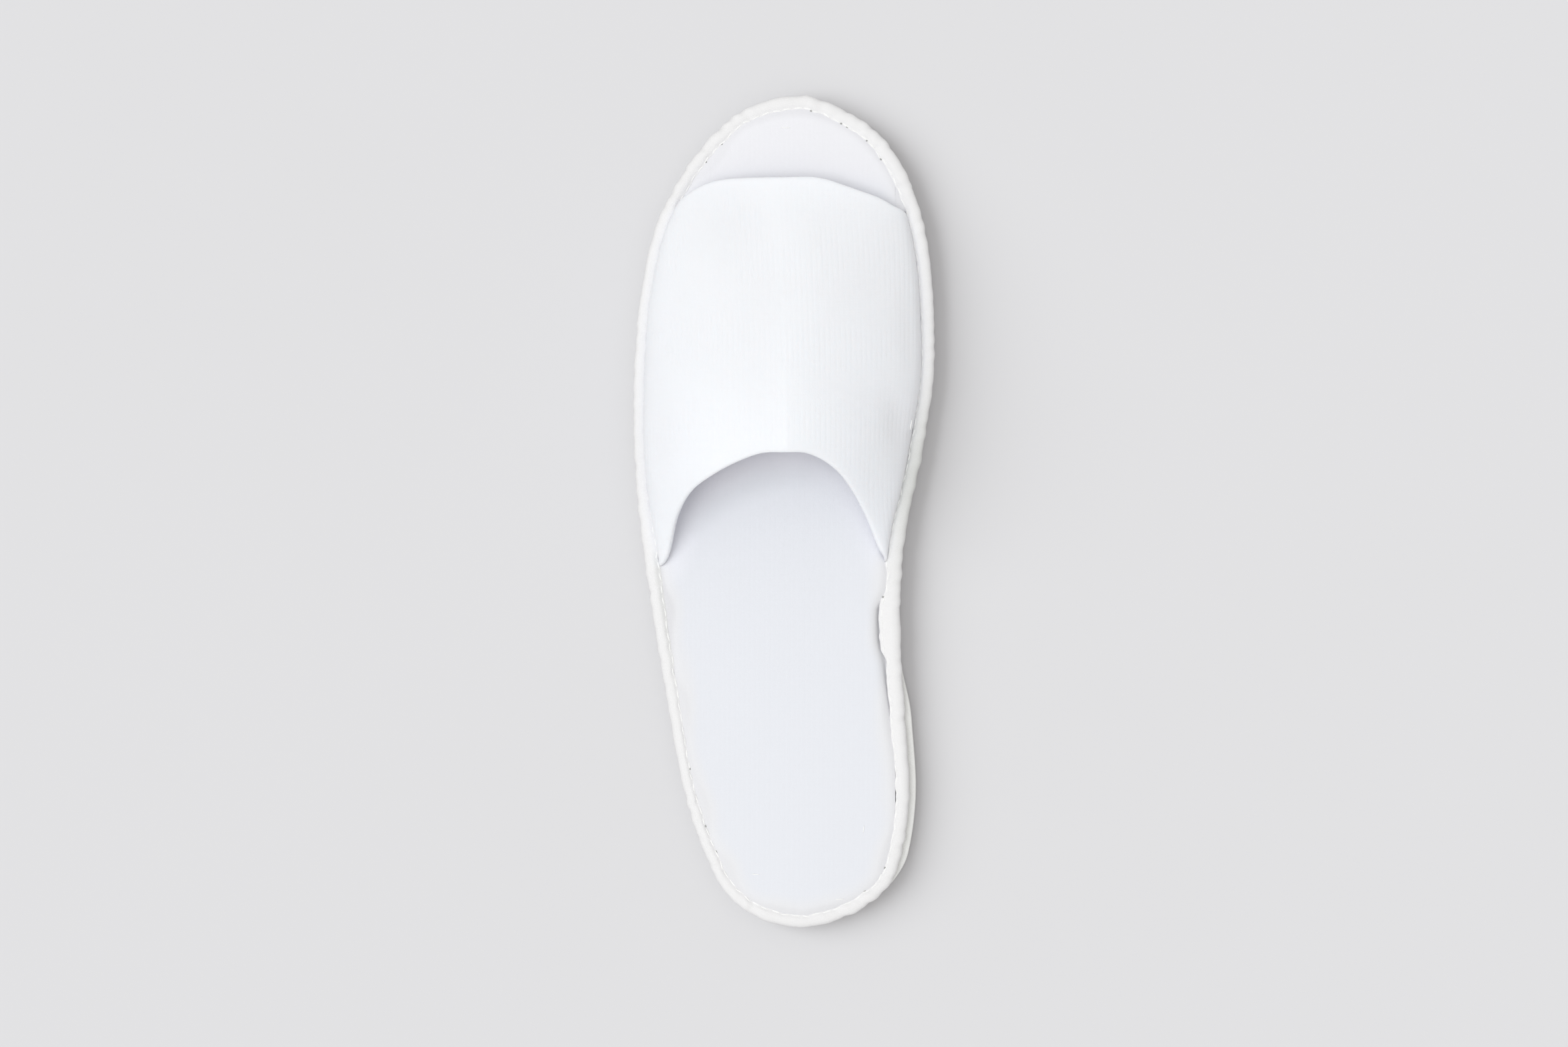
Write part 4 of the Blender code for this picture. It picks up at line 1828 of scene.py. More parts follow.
@dataclass
class EdgeBinding:
    """The tape folded round the edge, puckered along its seam, with its stitches and needle holes.

    Its sizes are metres, but seam, gather_width and hole_reach are shares of the way from the roll to the
    fold's tip, and covered is shares of the length. slant is how far the ruffles lean along the edge for
    each metre round the section.
    """

    form: Form
    finishes: Finishes
    places: int = 1300
    wander: tuple[Waves, Waves] = (Waves(5.0, 18.0, 0.20, 11), Waves(2.5, 6.0, 0.06, 12))
    ruffle: Waves = Waves(4.5, 12.0, 0.13, 13)
    broad: Waves = Waves(14.0, 40.0, 0.08, 14)
    slant: float = 0.45
    covered: Span = (-0.02, 0.01)
    lift_over_vamp: float = 0.34 * MM
    seam: float = 0.80
    gather_depth: float = 0.10 * MM
    gather_width: float = 0.16
    stitch_pitch: float = 4.1 * MM
    stitch_length: float = 3.1 * MM
    stitch_width: float = 0.42 * MM
    stitch_height: float = 0.34 * MM
    stitch_lift: float = 0.04 * MM
    stitch_wander: float = 0.06
    stitch_tilt_deg: float = 5.0
    hole_width: float = 0.75 * MM
    hole_height: float = 0.26 * MM
    hole_reach: float = 0.93
    # Painted shade on the tape's inner fold: where it starts and ends across the tape, and its strength
    worn_fold: Span = (2.6 * MM, 4.0 * MM)
    fold_wear: float = 0.45

    def __post_init__(self) -> None:
        """Draw the outline and count the stitches on it."""
        self.loop = self.form.loop(self.places)
        self.count = max(1, round(self.loop.whole / self.stitch_pitch))

    def fold(self, loop: Loop) -> np.ndarray:
        """The fold's uneven reach at each place of a loop."""
        return self.form.fold(loop.points) + sum(waves.read(loop.run, loop.whole) for waves in self.wander)

    def section(self, loop: Loop) -> tuple[np.ndarray, np.ndarray]:
        """The tape's surface.

        Args:
            loop: the places round the outline where it is cut.

        Returns:
            Its points, places by corners by 3, and each corner's distance round the section.
        """
        insets = np.array([turn.inset for turn in TAPE_TURNS]) * MM
        reaches = np.array([turn.reach for turn in TAPE_TURNS])
        heights = np.array([turn.height for turn in TAPE_TURNS]) * MM
        puffs = np.array([turn.puff for turn in TAPE_TURNS])
        inset = insets + reaches * (self.fold(loop)[:, None] - ROLL * MM)
        along = self.form.along(loop.points[:, 1])
        cover = self.form.cover(along, *self.covered)[:, None]
        height = self.form.tape_foot + heights + self.lift_over_vamp * cover * reaches
        flat = loop.points[:, None, :] - loop.outward[:, None, :] * inset[:, :, None]
        points = np.concatenate((flat, height[:, :, None]), axis=2)
        lengths = np.linalg.norm(np.diff(points[0], axis=0), axis=1)
        girth = np.concatenate(([0.0], np.cumsum(lengths)))
        around = np.roll(points, -1, axis=0) - np.roll(points, 1, axis=0)
        across = np.roll(points, -1, axis=1) - np.roll(points, 1, axis=1)
        outward = unit(np.cross(around, across))
        leaning = self.ruffle.read(loop.run[:, None] + girth * self.slant, loop.whole)
        puckers = leaning + self.tucked(loop, girth) + self.broad.read(loop.run, loop.whole)[:, None]
        beat = np.cos(2 * np.pi * loop.run / loop.whole * self.count)[:, None]
        near_seam = np.exp(-(((reaches - self.seam) / self.gather_width) ** 2)) * (reaches > 0)
        gather = self.gather_depth * (0.5 - 0.5 * beat) * near_seam
        points += outward * ((puckers - gather) * puffs)[:, :, None]
        return points, girth

    def tucked(self, loop: Loop, girth: np.ndarray) -> np.ndarray:
        """How deep the tape's short folds press in, which is less than nothing.

        Args:
            loop: the places round the outline.
            girth: each corner's distance round the section.

        Returns:
            The depth, places by corners.
        """
        total = np.zeros((len(loop.run), len(girth)))
        for tuck in TUCKS:
            spot = np.array((tuck.x, tuck.y)) * MM
            start = loop.run[int(np.linalg.norm(loop.points - spot, axis=1).argmin())]
            away = (loop.run - start + loop.whole / 2) % loop.whole - loop.whole / 2
            away = away[:, None] + tuck.slant * (girth - girth.mean() / 2)
            total -= tuck.depth * MM * np.exp(-((away / (tuck.half * MM)) ** 2))
        return total

    def tape(self) -> None:
        """The tape: a long strip folded on its section and joined end to end."""
        points, girth = self.section(self.loop)
        closed = np.concatenate((points, points[:, :1]), axis=1)
        closed = np.concatenate((closed, closed[:1]), axis=0)
        run = np.concatenate((self.loop.run, [self.loop.whole]))
        around = np.concatenate((girth, [girth[-1] + 1 * MM]))
        chart = np.stack(np.meshgrid(around, run), axis=2)
        piece = Bench.blank("edge_tape", closed, chart)
        x, y = Bench.plan(piece)
        depth, _ = self.form.inset(x, y, self.form.loop(FINE_OUTLINE))
        # Painted shade on the tape's inner fold at the outer side's dip, and the vamp's painted shadow on the
        # arch side
        worn = self.fold_wear * smooth(depth, *self.worn_fold) * self.form.worn_side(x, y)
        Bench.note(piece, Noted.GRUBBY, np.maximum(TAPE_VAMP_SHADOW.strength(x, y), worn))
        Bench.finish(piece, angle_deg=80)
        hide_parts("edge_binding")
        Bench.dress(piece, Slot.TAPE, self.finishes.tape)

    def frames(self, run: np.ndarray, reach: float) -> list[Matrix]:
        """Places on the fold.

        Args:
            run: how far round each place is.
            reach: its share of the way from the roll to the fold's tip.

        Returns:
            A frame for each, with x along the seam and z off the tape.
        """
        points, _ = self.section(self.loop)
        corners = [k for k, turn in enumerate(TAPE_TURNS) if turn.puff > 0 and turn.inset == ROLL]
        reaches = [TAPE_TURNS[k].reach for k in corners]
        rows = [points[:, k] for k in corners]
        at = min(max(int(np.searchsorted(reaches, reach)), 1), len(reaches) - 1)
        share = (reach - reaches[at - 1]) / (reaches[at] - reaches[at - 1])
        line = rows[at - 1] * (1 - share) + rows[at] * share
        across = rows[at] - rows[at - 1]
        count = len(line)
        places = []
        for position in run / (self.loop.whole / count):
            k = int(position) % count
            mix = position - int(position)
            here = line[k] * (1 - mix) + line[(k + 1) % count] * mix
            forward = Vector(line[(k + 2) % count] - line[k - 1]).normalized()
            up = forward.cross(Vector(across[k])).normalized()
            up = up if up.z > 0 else -up
            turn = Matrix((forward, up.cross(forward), up)).transposed().to_4x4()
            places.append(Matrix.Translation(here) @ turn)
        return places

    def stitches(self) -> None:
        """The seam: one stitch after another, each sunk in the tape at both ends."""
        random = np.random.default_rng(21)
        uneven = random.uniform(-self.stitch_wander, self.stitch_wander, self.count)
        run = (np.arange(self.count) + 0.5 + uneven) * self.loop.whole / self.count
        size = Matrix.Diagonal((self.stitch_length, self.stitch_width, self.stitch_height, 1.0))
        lift = Matrix.Translation((0, 0, self.stitch_lift))
        places = []
        for place in self.frames(run, self.seam):
            tilt_deg = random.uniform(-self.stitch_tilt_deg, self.stitch_tilt_deg)
            tilt = Matrix.Rotation(math.radians(tilt_deg), 4, "Z")
            places.append(place @ lift @ tilt @ size)
        pattern = Bench.bead("stitch", segments=8, rings=8, radius=0.5)
        piece = Bench.copies("edge_stitches", pattern, places)
        Bench.dress(piece, Slot.TAPE, self.finishes.thread)

    def holes(self) -> None:
        """The few of the needle's holes that stand open, as small dark beads: painted shadow in each hole."""
        loop = self.loop
        places = []
        for mark in OPEN_HOLES:
            spot = np.array((mark.x, mark.y)) * MM
            nearest = int(np.linalg.norm(loop.ring(self.fold(loop)) - spot, axis=1).argmin())
            size = Matrix.Diagonal((mark.length * MM, self.hole_width, self.hole_height, 1.0))
            places.append(self.frames(loop.run[[nearest]], self.hole_reach)[0] @ size)
        pattern = Bench.bead("needle_hole_shadow", segments=8, rings=6, radius=0.5)
        piece = Bench.copies("needle_hole_shadows", pattern, places)
        Bench.dress(piece, Slot.TAPE, self.finishes.hole)

    def build(self) -> None:
        """Tape, stitches and holes."""
        self.tape()
        self.stitches()
        self.holes()


# ---- Vamp ----


@dataclass(frozen=True)
class Fibre:
    """A lengthwise line of the vamp's middle surface: its x and z at every section, its turn round the arch
    from 0 to pi, and the wall there."""

    x: np.ndarray
    z: np.ndarray
    turn: float
    wall: float


class VampCut:
    """The vamp as its cloth lies: a flat chart, with u across from the crown and y along, on the form."""

    STATIONS = 320
    ARCH_STEPS = 180
    WALL = 2.4 * MM
    CREASE_WALL = 1.15 * MM
    MARGIN_WALL = 0.9 * MM
    # The wall is full where the arch has climbed to this share of its height
    FULL_WALL = 0.35
    MARGIN_HEIGHT = 3.15 * MM
    # The margins are cut this far inside the outline, and bend up this far inside the fold's tip
    MARGIN_CUT = 1.5 * MM
    CREASE = 0.4 * MM
    # How far over the margin the arch starts
    ARCH_FOOT = 1.8 * MM
    # Cloth past the margins' cut, so that the surface is whole up to it
    SPARE = 0.5 * MM
    # Half the distance over which a direction is measured
    PROBE = 0.1 * MM
    # How many fibres the ends' lines are measured on, and how many places their cuts have
    FIBRES = 181
    CUT_PLACES = 900
    # Near the margins' cut, a place counts as inside an end by at most this many times its way to that cut
    STEEPEST = 8

    def __init__(self, form: Form) -> None:
        """Measure the cloth on the form.

        Args:
            form: the slipper's form.
        """
        self.form = form
        low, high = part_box("vamp")
        self.margin = form.tape_foot + self.MARGIN_HEIGHT
        self.y = np.linspace(low.y - 1 * MM, high.y + 1 * MM, self.STATIONS)
        lateral, medial = (self._margin(side) for side in Side)
        fibres = (*lateral, *self._arch(), *reversed(medial))
        self.x = np.stack([fibre.x for fibre in fibres], axis=1)
        self.z = np.stack([fibre.z for fibre in fibres], axis=1)
        self.turns = np.array([fibre.turn for fibre in fibres])
        self.walls = np.array([fibre.wall for fibre in fibres])
        lengths = np.hypot(np.diff(self.x, axis=1), np.diff(self.z, axis=1))
        run = np.concatenate((np.zeros((self.STATIONS, 1)), np.cumsum(lengths, axis=1)), axis=1)
        crown = len(lateral) + self.ARCH_STEPS // 2
        self.u = run - run[:, crown:crown + 1]
        self.ends = {
            End.COLLAR: self._cut(COLLAR_CROWN, COLLAR_EDGE),
            End.TOE: self._cut(TOE_CROWN, TOE_EDGE),
        }

    def _foot(self, side: Side, inset: np.ndarray | float) -> np.ndarray:
        """Where a line set in from the outline lies across.

        Args:
            side: on which side.
            inset: how far in it is.

        Returns:
            Its x at every section.
        """
        edge, outward = self.form.edge(side, self.y)
        return edge - inset / outward

    def _margin(self, side: Side) -> list[Fibre]:
        """The margin that is caught under the fold, and its bend up to the arch.

        Args:
            side: on which side.

        Returns:
            Its fibres, from the cut to the crease.
        """
        fold = self.form.side_fold(side, self.y)
        turn = 0.0 if side is Side.LATERAL else np.pi
        steps = [(self.MARGIN_CUT - self.SPARE, 0.0)]
        steps += [(fold + (self.CREASE - bend.short * MM), bend.rise * MM) for bend in CREASE_BEND]
        return [
            Fibre(self._foot(side, inset), np.full_like(self.y, self.margin + rise), turn, self.MARGIN_WALL)
            for inset, rise in steps
        ]

    def _arch(self) -> list[Fibre]:
        """The arch over the foot.

        Returns:
            Its fibres, from the lateral crease over the crown to the medial crease.
        """
        along = self.form.along(self.y)
        crown = through(ARCHES, "crown", along) * MM + self.form.middle[0]
        names = ("rise", "lean", "fill", "sink")
        rise, lean, fill, sink = (through(ARCHES, name, along) * MM for name in names)
        feet = {side: self._foot(side, self.form.side_fold(side, self.y) + self.CREASE) for side in Side}
        fibres = []
        for turn in np.linspace(0, np.pi, self.ARCH_STEPS + 1):
            side = Side.LATERAL if turn < np.pi / 2 else Side.MEDIAL
            place = crown + (feet[side] - crown) * abs(math.cos(turn))
            climb = 1 - abs(turn / (np.pi / 2) - 1)
            belly = 4 * climb * (1 - climb)
            if side is Side.LATERAL:
                place = place - lean * belly * belly
                swelling = fill * belly
            else:
                swelling = -sink * belly
            height = self.margin + self.ARCH_FOOT + rise * math.sin(turn) + swelling
            full = float(smooth(math.sin(turn), 0.0, self.FULL_WALL))
            wall = self.CREASE_WALL + (self.WALL - self.CREASE_WALL) * full
            fibres.append(Fibre(place, height, turn, wall))
        return fibres

    def _cut(self, crown: float, edge: Sequence[Setback]) -> np.ndarray:
        """How far along an end lies.

        Args:
            crown: its share of the length on the crown.
            edge: how far behind that the rest of it lies.

        Returns:
            Its y on each fibre.
        """
        climb = 1 - np.abs(self.turns / (np.pi / 2) - 1)
        lateral, medial = through(edge, "lateral", climb), through(edge, "medial", climb)
        back = np.where(self.turns < np.pi / 2, lateral, medial) * MM
        return (crown - 0.5) * self.form.length + self.form.middle[1] - back

    def rim(self, end: End) -> np.ndarray:
        """An end's cut line on the cloth's chart.

        Args:
            end: which end.

        Returns:
            Its places' u and y.
        """
        cut = self.ends[end]
        steps = np.arange(len(cut))
        u = np.array([np.interp(cut[k], self.y, self.u[:, k]) for k in steps])
        fine = np.linspace(0, len(cut) - 1, self.CUT_PLACES)
        return np.stack((np.interp(fine, steps, u), np.interp(fine, steps, cut)), axis=1)

    def plan_edge(self, end: End) -> np.ndarray:
        """An end's cut line as seen from above: x and y on each fibre."""
        cut = self.ends[end]
        return np.array([(np.interp(place, self.y, self.x[:, k]), place) for k, place in enumerate(cut)])

    def read(self, u: np.ndarray, y: np.ndarray) -> tuple[np.ndarray, np.ndarray]:
        """The middle surface.

        Args:
            u: one place across for each column of the cloth.
            y: places along, rows by columns.

        Returns:
            The points, rows by columns by 3, and the wall there.
        """
        tables = (self.x, self.z, np.broadcast_to(self.walls, self.x.shape))
        found = np.empty((len(tables), *y.shape))
        for values, table in zip(found, tables):
            level = np.array([np.interp(u, self.u[j], table[j]) for j in range(self.STATIONS)])
            for k in range(len(u)):
                values[:, k] = np.interp(y[:, k], self.y, level[:, k])
        x, z, wall = found
        return np.stack((x, y, z), axis=2), wall

    def normals(self, u: np.ndarray, y: np.ndarray) -> np.ndarray:
        """The middle surface's outward directions.

        Args:
            u: as for read.
            y: as for read.

        Returns:
            The directions, rows by columns by 3.
        """
        along = self.read(u, y + self.PROBE)[0] - self.read(u, y - self.PROBE)[0]
        across = self.read(u + self.PROBE, y)[0] - self.read(u - self.PROBE, y)[0]
        return -unit(np.cross(along, across))

    def stations(self, u: np.ndarray, offsets: Sequence[float]) -> dict[End, np.ndarray]:
        """Where lines at set distances inside each end cross the cloth's lengthwise fibres.

        Args:
            u: the fibres' places across.
            offsets: the distances, growing.

        Returns:
            For each end, y for each offset and fibre.
        """
        swing = np.sin(np.linspace(-np.pi / 2, np.pi / 2, self.FIBRES))
        sparse = (u[0] + u[-1]) / 2 + (u[-1] - u[0]) / 2 * swing
        found = {}
        for end in End:
            inside = self._inside(end, sparse, offsets[0])
            places = self.y
            if end is End.TOE:
                inside, places = inside[::-1], places[::-1]
            lines = [[self._crossing(places, fibre, offset) for fibre in inside.T] for offset in offsets]
            found[end] = np.array([np.interp(u, sparse, line) for line in lines])
        return found

    def _inside(self, end: End, u: np.ndarray, least: float) -> np.ndarray:
        """How far inside an end's cut the cloth lies.

        Args:
            end: which end.
            u: fibres' places across.
            least: the most that the distance counts for at the margins' cut.

        Returns:
            The distance, sections by fibres, which is less than nothing past the cut.
        """
        index = np.arange(self.u.shape[1])
        numbers = np.array([np.interp(u, self.u[j], index) for j in range(self.STATIONS)])
        inside = (np.interp(numbers, index, self.ends[end]) - self.y[:, None]) * end.value > 0
        line = self.rim(end)
        away = np.empty(inside.shape)
        for k, place in enumerate(u):
            away[:, k] = np.hypot(line[:, 0] - place, line[:, 1] - self.y[:, None]).min(axis=1)
        reach = np.minimum(self.u[:, -1:] - u, u - self.u[:, :1]) - self.SPARE
        return np.minimum(np.where(inside, away, -away), least + self.STEEPEST * reach)

    @staticmethod
    def _crossing(places: np.ndarray, fibre: np.ndarray, offset: float) -> float:
        """Where a fibre is first as far inside an end as it should be.

        Args:
            places: its y, from outside the end.
            fibre: how far inside the end it is there.
            offset: how far it should be.

        Returns:
            The y.
        """
        over = np.nonzero(fibre >= offset)[0]
        at = over[0] if len(over) else int(fibre.argmax())
        if at == 0:
            return places[0]
        low, high = fibre[at - 1], fibre[at]
        share = min(max((offset - low) / max(high - low, 1e-9), 0), 1)
        return places[at - 1] + share * (places[at] - places[at - 1])


@dataclass
class Vamp:
    """The upper: ribbed cloth over a thin foam, turned in at toe and collar. Its sizes are metres.

    Its ribs stand out in soft patches and lengthwise streaks, between the two heights of those hills that
    are given, and never less than rib_least.
    """

    form: Form
    finishes: Finishes
    rib_pitch: float = 1.8 * MM
    rib_steps: int = 6
    rib_relief: float = 0.085 * MM
    rib_least: float = 0.3
    rib_fade: Span = (0.4 * MM, 2.2 * MM)
    rib_patches: Ground = Ground(24.0, 1.0, 33)
    rib_patch_hills: Span = (-0.7, 0.7)
    rib_streaks: Ground = Ground(14.0, 1.0, 34)
    rib_streak_hills: Span = (-1.0, 0.6)
    rib_streak_narrow: float = 3.0
    rib_streak_share: float = 0.45
    uneven: tuple[Ground, Ground] = (Ground(30.0, 0.05, 31), Ground(60.0, 0.10, 32))
    body_rows: int = 80
    lining_rows: int = 52
    edge_lines: tuple[float, float, float] = (1.9 * MM, 2.8 * MM, 4.2 * MM)
    least_gap: float = 0.05 * MM
    margin_trim: float = 1.0 * MM
    hem_steps: int = 6
    hem_round: float = 0.55
    hem_chart: Span = (0.5 * MM, 3.5 * MM)
    hem_width: float = 4.0 * MM
    seam_weld: float = 1e-7
    tack_width: float = 0.2 * MM
    tack_height: float = 0.16 * MM

    def __post_init__(self) -> None:
        """Measure the cloth."""
        self.cut = VampCut(self.form)

    def relief(self, u: np.ndarray, points: np.ndarray, gap: np.ndarray) -> np.ndarray:
        """What stands up from the plain wall outside: ribs, soft creases and unevenness.

        Args:
            u: places across the cloth.
            points: the middle surface, rows by columns by 3.
            gap: how far each row lies from the nearer end, or 0 at the hem.

        Returns:
            The height off the plain wall.
        """
        x, y = points[:, :, 0], points[:, :, 1]
        ribs = ribbed(u, self.rib_pitch) * self.rib_relief * smooth(gap, *self.rib_fade)
        streaks = smooth(self.rib_streaks.hills(self.rib_streak_narrow * x, y), *self.rib_streak_hills)
        patches = smooth(self.rib_patches.hills(x, y), *self.rib_patch_hills)
        patches = patches * (1 - self.rib_streak_share + self.rib_streak_share * streaks)
        ribs = ribs * (self.rib_least + (1 - self.rib_least) * patches)
        return ribs + sum(form.read(x, y) for form in (*self.uneven, *VAMP_CREASES))

    def shell(self) -> None:
        """The shell, as one blank of cloth folded in at both ends and closed along its margins."""
        cut = self.cut
        step = self.rib_pitch / self.rib_steps
        spare = self.margin_trim + cut.SPARE
        first = math.floor((-cut.u[:, 0].min() - spare) / step)
        last = math.floor((cut.u[:, -1].max() - spare) / step)
        u = np.arange(-first, last + 1) * step
        y = self.rows_along(u)
        points, wall = cut.read(u, y)
        normal = cut.normals(u, y)
        relief = self.relief(u, points, np.minimum(y - y[:1], y[-1:] - y))
        outer = points + normal * (wall / 2 + relief)[:, :, None]
        border = len(self.edge_lines)
        between = np.linspace(border, len(y) - 1 - border, self.lining_rows).astype(int)
        lined = np.unique(np.concatenate(([0], between, [len(y) - 1])))
        inner = (points - normal * wall[:, :, None] / 2)[lined]
        toe_hem = self.hem(points[-1], normal[-1], wall[-1], relief[-1], End.TOE)
        collar_hem = self.hem(points[0], normal[0], wall[0], relief[0], End.COLLAR)
        laid = np.concatenate((outer, toe_hem, inner[::-1], collar_hem[::-1], outer[:1]))
        turned = np.linspace(*self.hem_chart, self.hem_steps - 1)[:, None]
        lining_chart = 2 * y[-1] + self.hem_width - y[lined][::-1]
        along = np.concatenate((y, y[-1] + turned, lining_chart, y[0] - turned[::-1], y[:1]))
        finish = np.zeros(len(laid), int)
        start = len(outer) + len(toe_hem)
        finish[start:start + len(inner) - 1] = 1
        chart = np.stack((np.broadcast_to(u, along.shape), along), axis=2)
        piece = Bench.blank("vamp_cloth", laid, chart, finish)
        self.close(piece)
        x, y = Bench.plan(piece)
        # The vamp's painted shade, in soft patches on its sloping sides
        Bench.note(piece, Noted.WORN, np.minimum(sum(patch.strength(x, y) for patch in VAMP_SLOPE_SHADE), 1))
        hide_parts("vamp")
        Bench.dress(piece, Slot.VAMP, self.finishes.vamp, self.finishes.lining)

    def rows_along(self, u: np.ndarray) -> np.ndarray:
        """Where the rows of the cloth lie: a few that follow each end, and the rest between them.

        Args:
            u: the columns' places across.

        Returns:
            Their y, rows by columns.
        """
        lines = self.cut.stations(u, (self.cut.WALL / 2, *self.edge_lines))
        collar, toe = lines[End.COLLAR], lines[End.TOE][::-1]
        middle = (collar[-1] + toe[0]) / 2
        # Where the ends' rows would cross, in the margins, they keep a little apart
        apart = np.arange(1, len(collar) + 1)[:, None] * self.least_gap
        collar = np.minimum(collar, middle - apart[::-1])
        toe = np.maximum(toe, middle + apart)
        share = np.linspace(0, 1, self.body_rows + 2)[1:-1, None]
        return np.concatenate((collar, collar[-1] + (toe[0] - collar[-1]) * share, toe))

    def hem(
        self, line: np.ndarray, normal: np.ndarray, wall: np.ndarray, relief: np.ndarray, end: End
    ) -> np.ndarray:
        """The rounded edge where the cloth turns in.

        Args:
            line: the middle surface, half a wall short of the end.
            normal: the wall's outward direction there.
            wall: its thickness.
            relief: what stands up outside it.
            end: which end it is.

        Returns:
            The rows between the outer and the inner face.
        """
        tangent = unit(np.gradient(line, axis=0))
        forward = unit(np.cross(normal, tangent))
        forward = forward * np.sign(forward[:, 1] * end.value)[:, None]
        rows = []
        for step in range(1, self.hem_steps):
            angle = np.pi * step / self.hem_steps
            level = math.copysign(abs(math.cos(angle)) ** self.hem_round, math.cos(angle))
            up = (wall / 2 + relief * (1 + math.cos(angle)) / 2) * level
            out = wall / 2 * math.sin(angle) ** self.hem_round
            rows.append(line + normal * up[:, None] + forward * out[:, None])
        return np.array(rows)

    def close(self, piece: Piece) -> None:
        """Weld the blank's seam, then fill the slit along each margin.

        Args:
            piece: the blank.
        """
        Bench.edit(piece)
        bpy.ops.mesh.select_all(action="SELECT")
        bpy.ops.mesh.remove_doubles(threshold=self.seam_weld)
        for side in Side:
            bpy.ops.mesh.select_all(action="DESELECT")
            bpy.ops.mesh.select_non_manifold(
                extend=False, use_wire=False, use_multi_face=False, use_non_contiguous=False, use_verts=False
            )
            bpy.ops.object.mode_set(mode="OBJECT")
            for vertex in piece.data.vertices:
                vertex.select = vertex.select and vertex.co.x * side.value > 0
            for edge in piece.data.edges:
                edge.select = all(piece.data.vertices[k].select for k in edge.vertices)
            bpy.ops.object.mode_set(mode="EDIT")
            bpy.ops.mesh.edge_face_add()
        Bench.finish(piece, angle_deg=70)

    def tacks(self) -> None:
        """A few short threads that show in the crease on the arch side."""
        cut = self.cut
        surface = np.stack((cut.x, np.broadcast_to(cut.y[:, None], cut.x.shape), cut.z), axis=2)
        half = cut.x.shape[1] // 2
        # A thread's direction is measured over this many sections each way
        near = 4
        places = []
        for mark in SIDE_TACKS:
            y = mark.y * MM
            row = int(np.abs(cut.y - y).argmin())
            k = half + int(np.abs(cut.x[row, half:] - mark.x * MM).argmin())
            ahead, behind = surface[row + near, k], surface[row - near, k]
            along = Vector((ahead[0] - behind[0], ahead[1] - behind[1], 0)).normalized()
            across = Vector(surface[row, k] - surface[row, k - 1]).normalized()
            up = along.cross(across)
            up = up.normalized() if up.z > 0 else -up.normalized()
            turn = Matrix((along, up.cross(along), up)).transposed().to_4x4()
            spot = Vector((cut.x[row, k], y, cut.z[row, k])) + up * (cut.walls[k] / 2)
            size = Matrix.Diagonal((mark.length * MM / 2, self.tack_width, self.tack_height, 1.0))
            places.append(Matrix.Translation(spot) @ turn @ size)
        pattern = Bench.bead("tack", segments=10, rings=8, radius=1.0)
        piece = Bench.copies("side_tacks", pattern, places)
        Bench.dress(piece, Slot.VAMP, self.finishes.thread)

    def build(self) -> None:
        """Shell and tacks."""
        self.shell()
        self.tacks()


# ---- Studio ----


class Lit(Enum):
    """What a light is aimed at."""

    SLIPPER = "slipper"
    FLOOR = "floor"


@dataclass(frozen=True)
class Softbox:
    """A far soft light: what it lights, where it stands, how wide it looks, and how strong it is."""

    name: str
    lit: Lit
    azimuth_deg: float
    elevation_deg: float
    spread_deg: float
    strength: float
    colour: Colour
    distance: float = 2.0

    def hang(self, lit: bpy.types.Collection) -> None:
        """Hang the light up.

        Args:
            lit: the pieces that it is aimed at.
        """
        azimuth, elevation = math.radians(self.azimuth_deg), math.radians(self.elevation_deg)
        level = math.cos(elevation)
        way = Vector((math.cos(azimuth) * level, math.sin(azimuth) * level, math.sin(elevation)))
        lamp = bpy.data.lights.new(self.name, "SUN")
        lamp.energy = self.strength
        lamp.angle = math.radians(self.spread_deg)
        lamp.color = self.colour
        light = bpy.data.objects.new(self.name, lamp)
        light.location = way * self.distance
        light.rotation_euler = way.to_track_quat("Z", "Y").to_euler()
        light.light_linking.receiver_collection = lit
        bpy.context.scene.collection.objects.link(light)


LIGHTS = (
    Softbox("key", Lit.SLIPPER, 180.0, 68.0, 44.0, 1.07, (0.965, 0.985, 1.0)),
    Softbox("overhead", Lit.SLIPPER, 170.0, 88.0, 60.0, 0.64, (0.965, 0.985, 1.0)),
    Softbox("floor_key", Lit.FLOOR, 172.0, 40.0, 52.0, 2.20, (0.965, 0.998, 1.0)),
    Softbox("floor_fill", Lit.FLOOR, 172.0, 75.0, 110.0, 0.47, (0.965, 0.998, 1.0)),
)


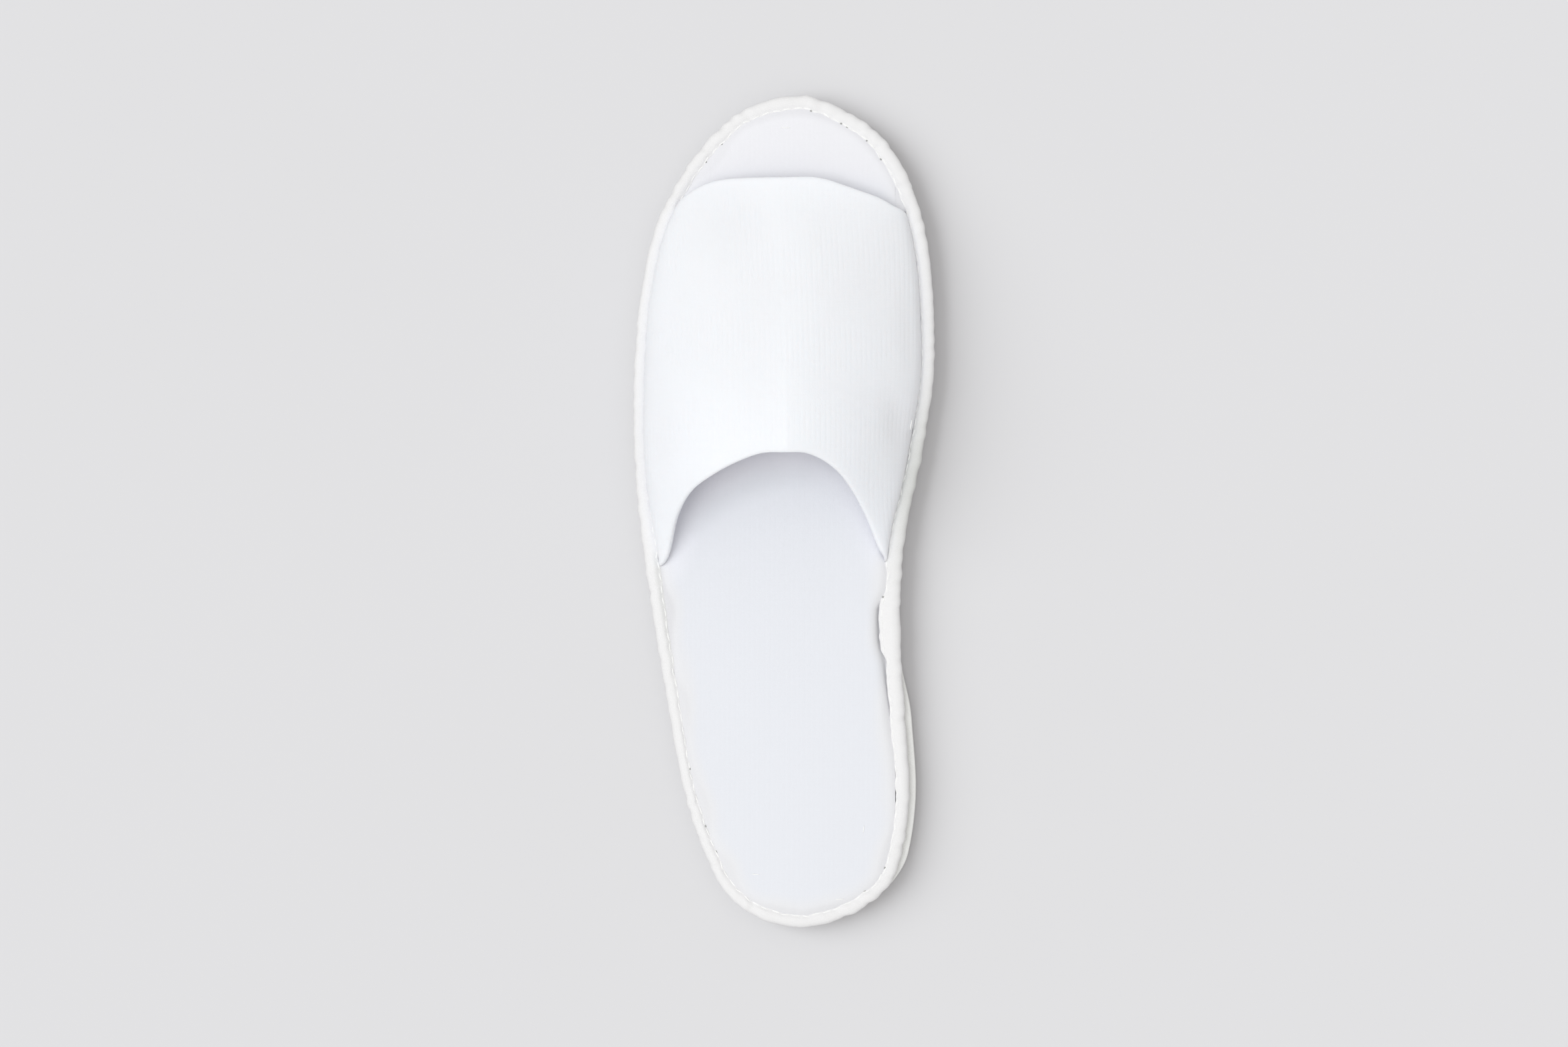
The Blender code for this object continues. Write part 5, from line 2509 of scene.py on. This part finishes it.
@dataclass
class Studio:
    """A pale floor, soft lights from the lateral side and above, a bright room, and the camera overhead."""

    form: Form
    finishes: Finishes
    floor_size: float = 6.0
    dome_colour: Colour = (1.0, 0.99, 0.965)
    dome_strength: float = 0.632
    eye: tuple[float, float, float] = (64.1 * MM, -4.1 * MM, 1100 * MM)
    aim: tuple[float, float, float] = (0.0, -4.1 * MM, 5 * MM)
    frame_width: float = 537.7 * MM
    sensor: float = 36.0

    def floor(self) -> Piece:
        """The floor, under the outsole.

        Returns:
            The floor.
        """
        low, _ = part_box("outsole")
        Bench.clear()
        bpy.ops.mesh.primitive_plane_add(size=self.floor_size, location=(0, 0, low.z))
        piece = Bench.started("studio_floor")
        piece.data.materials.append(self.finishes.floor)
        return piece

    def lights(self, floor: Piece) -> None:
        """The lights and the room.

        Args:
            floor: the floor, which has a light of its own.
        """
        aimed = {lit: bpy.data.collections.new("lit_" + lit.value) for lit in Lit}
        for piece in bpy.context.scene.objects:
            if piece.type == "MESH":
                aimed[Lit.FLOOR if piece is floor else Lit.SLIPPER].objects.link(piece)
        for softbox in LIGHTS:
            softbox.hang(aimed[softbox.lit])
        world = bpy.data.worlds.new("room")
        world.use_nodes = True
        background = world.node_tree.nodes["Background"]
        background.inputs["Color"].default_value = (*self.dome_colour, 1.0)
        background.inputs["Strength"].default_value = self.dome_strength
        bpy.context.scene.world = world
        bpy.context.scene.view_settings.view_transform = "Standard"

    def camera(self) -> None:
        """The camera, nearly straight overhead, with the toe at the top of the frame."""
        data = bpy.data.cameras.new("overhead")
        eye, aim = Vector(self.eye), Vector(self.aim)
        back = (eye - aim).normalized()
        right = Vector((0, 1, 0)).cross(back).normalized()
        up = back.cross(right)
        data.sensor_width = self.sensor
        data.lens = self.sensor * (self.eye[2] - self.aim[2]) / self.frame_width
        data.clip_start = 0.05
        data.clip_end = 20.0
        camera = bpy.data.objects.new("overhead", data)
        turn = Matrix((right, up, back)).transposed().to_4x4()
        camera.matrix_world = Matrix.Translation(eye) @ turn
        bpy.context.scene.collection.objects.link(camera)
        bpy.context.scene.camera = camera

    def build(self) -> None:
        """Floor, lights and camera."""
        self.lights(self.floor())
        self.camera()


def main() -> None:
    """Build the slipper round its frame and light it."""
    logging.basicConfig(level=logging.INFO, format="%(name)s: %(message)s")
    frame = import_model()
    log.info("frame: %d nodes", len(frame["nodes"]))
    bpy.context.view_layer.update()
    form = Form()
    finishes = Finishes()
    Outsole(form, finishes).build()
    Footbed(form, finishes).build()
    EdgeBinding(form, finishes).build()
    Vamp(form, finishes).build()
    Studio(form, finishes).build()
    Bench.clear()


if __name__ == "__main__":
    main()
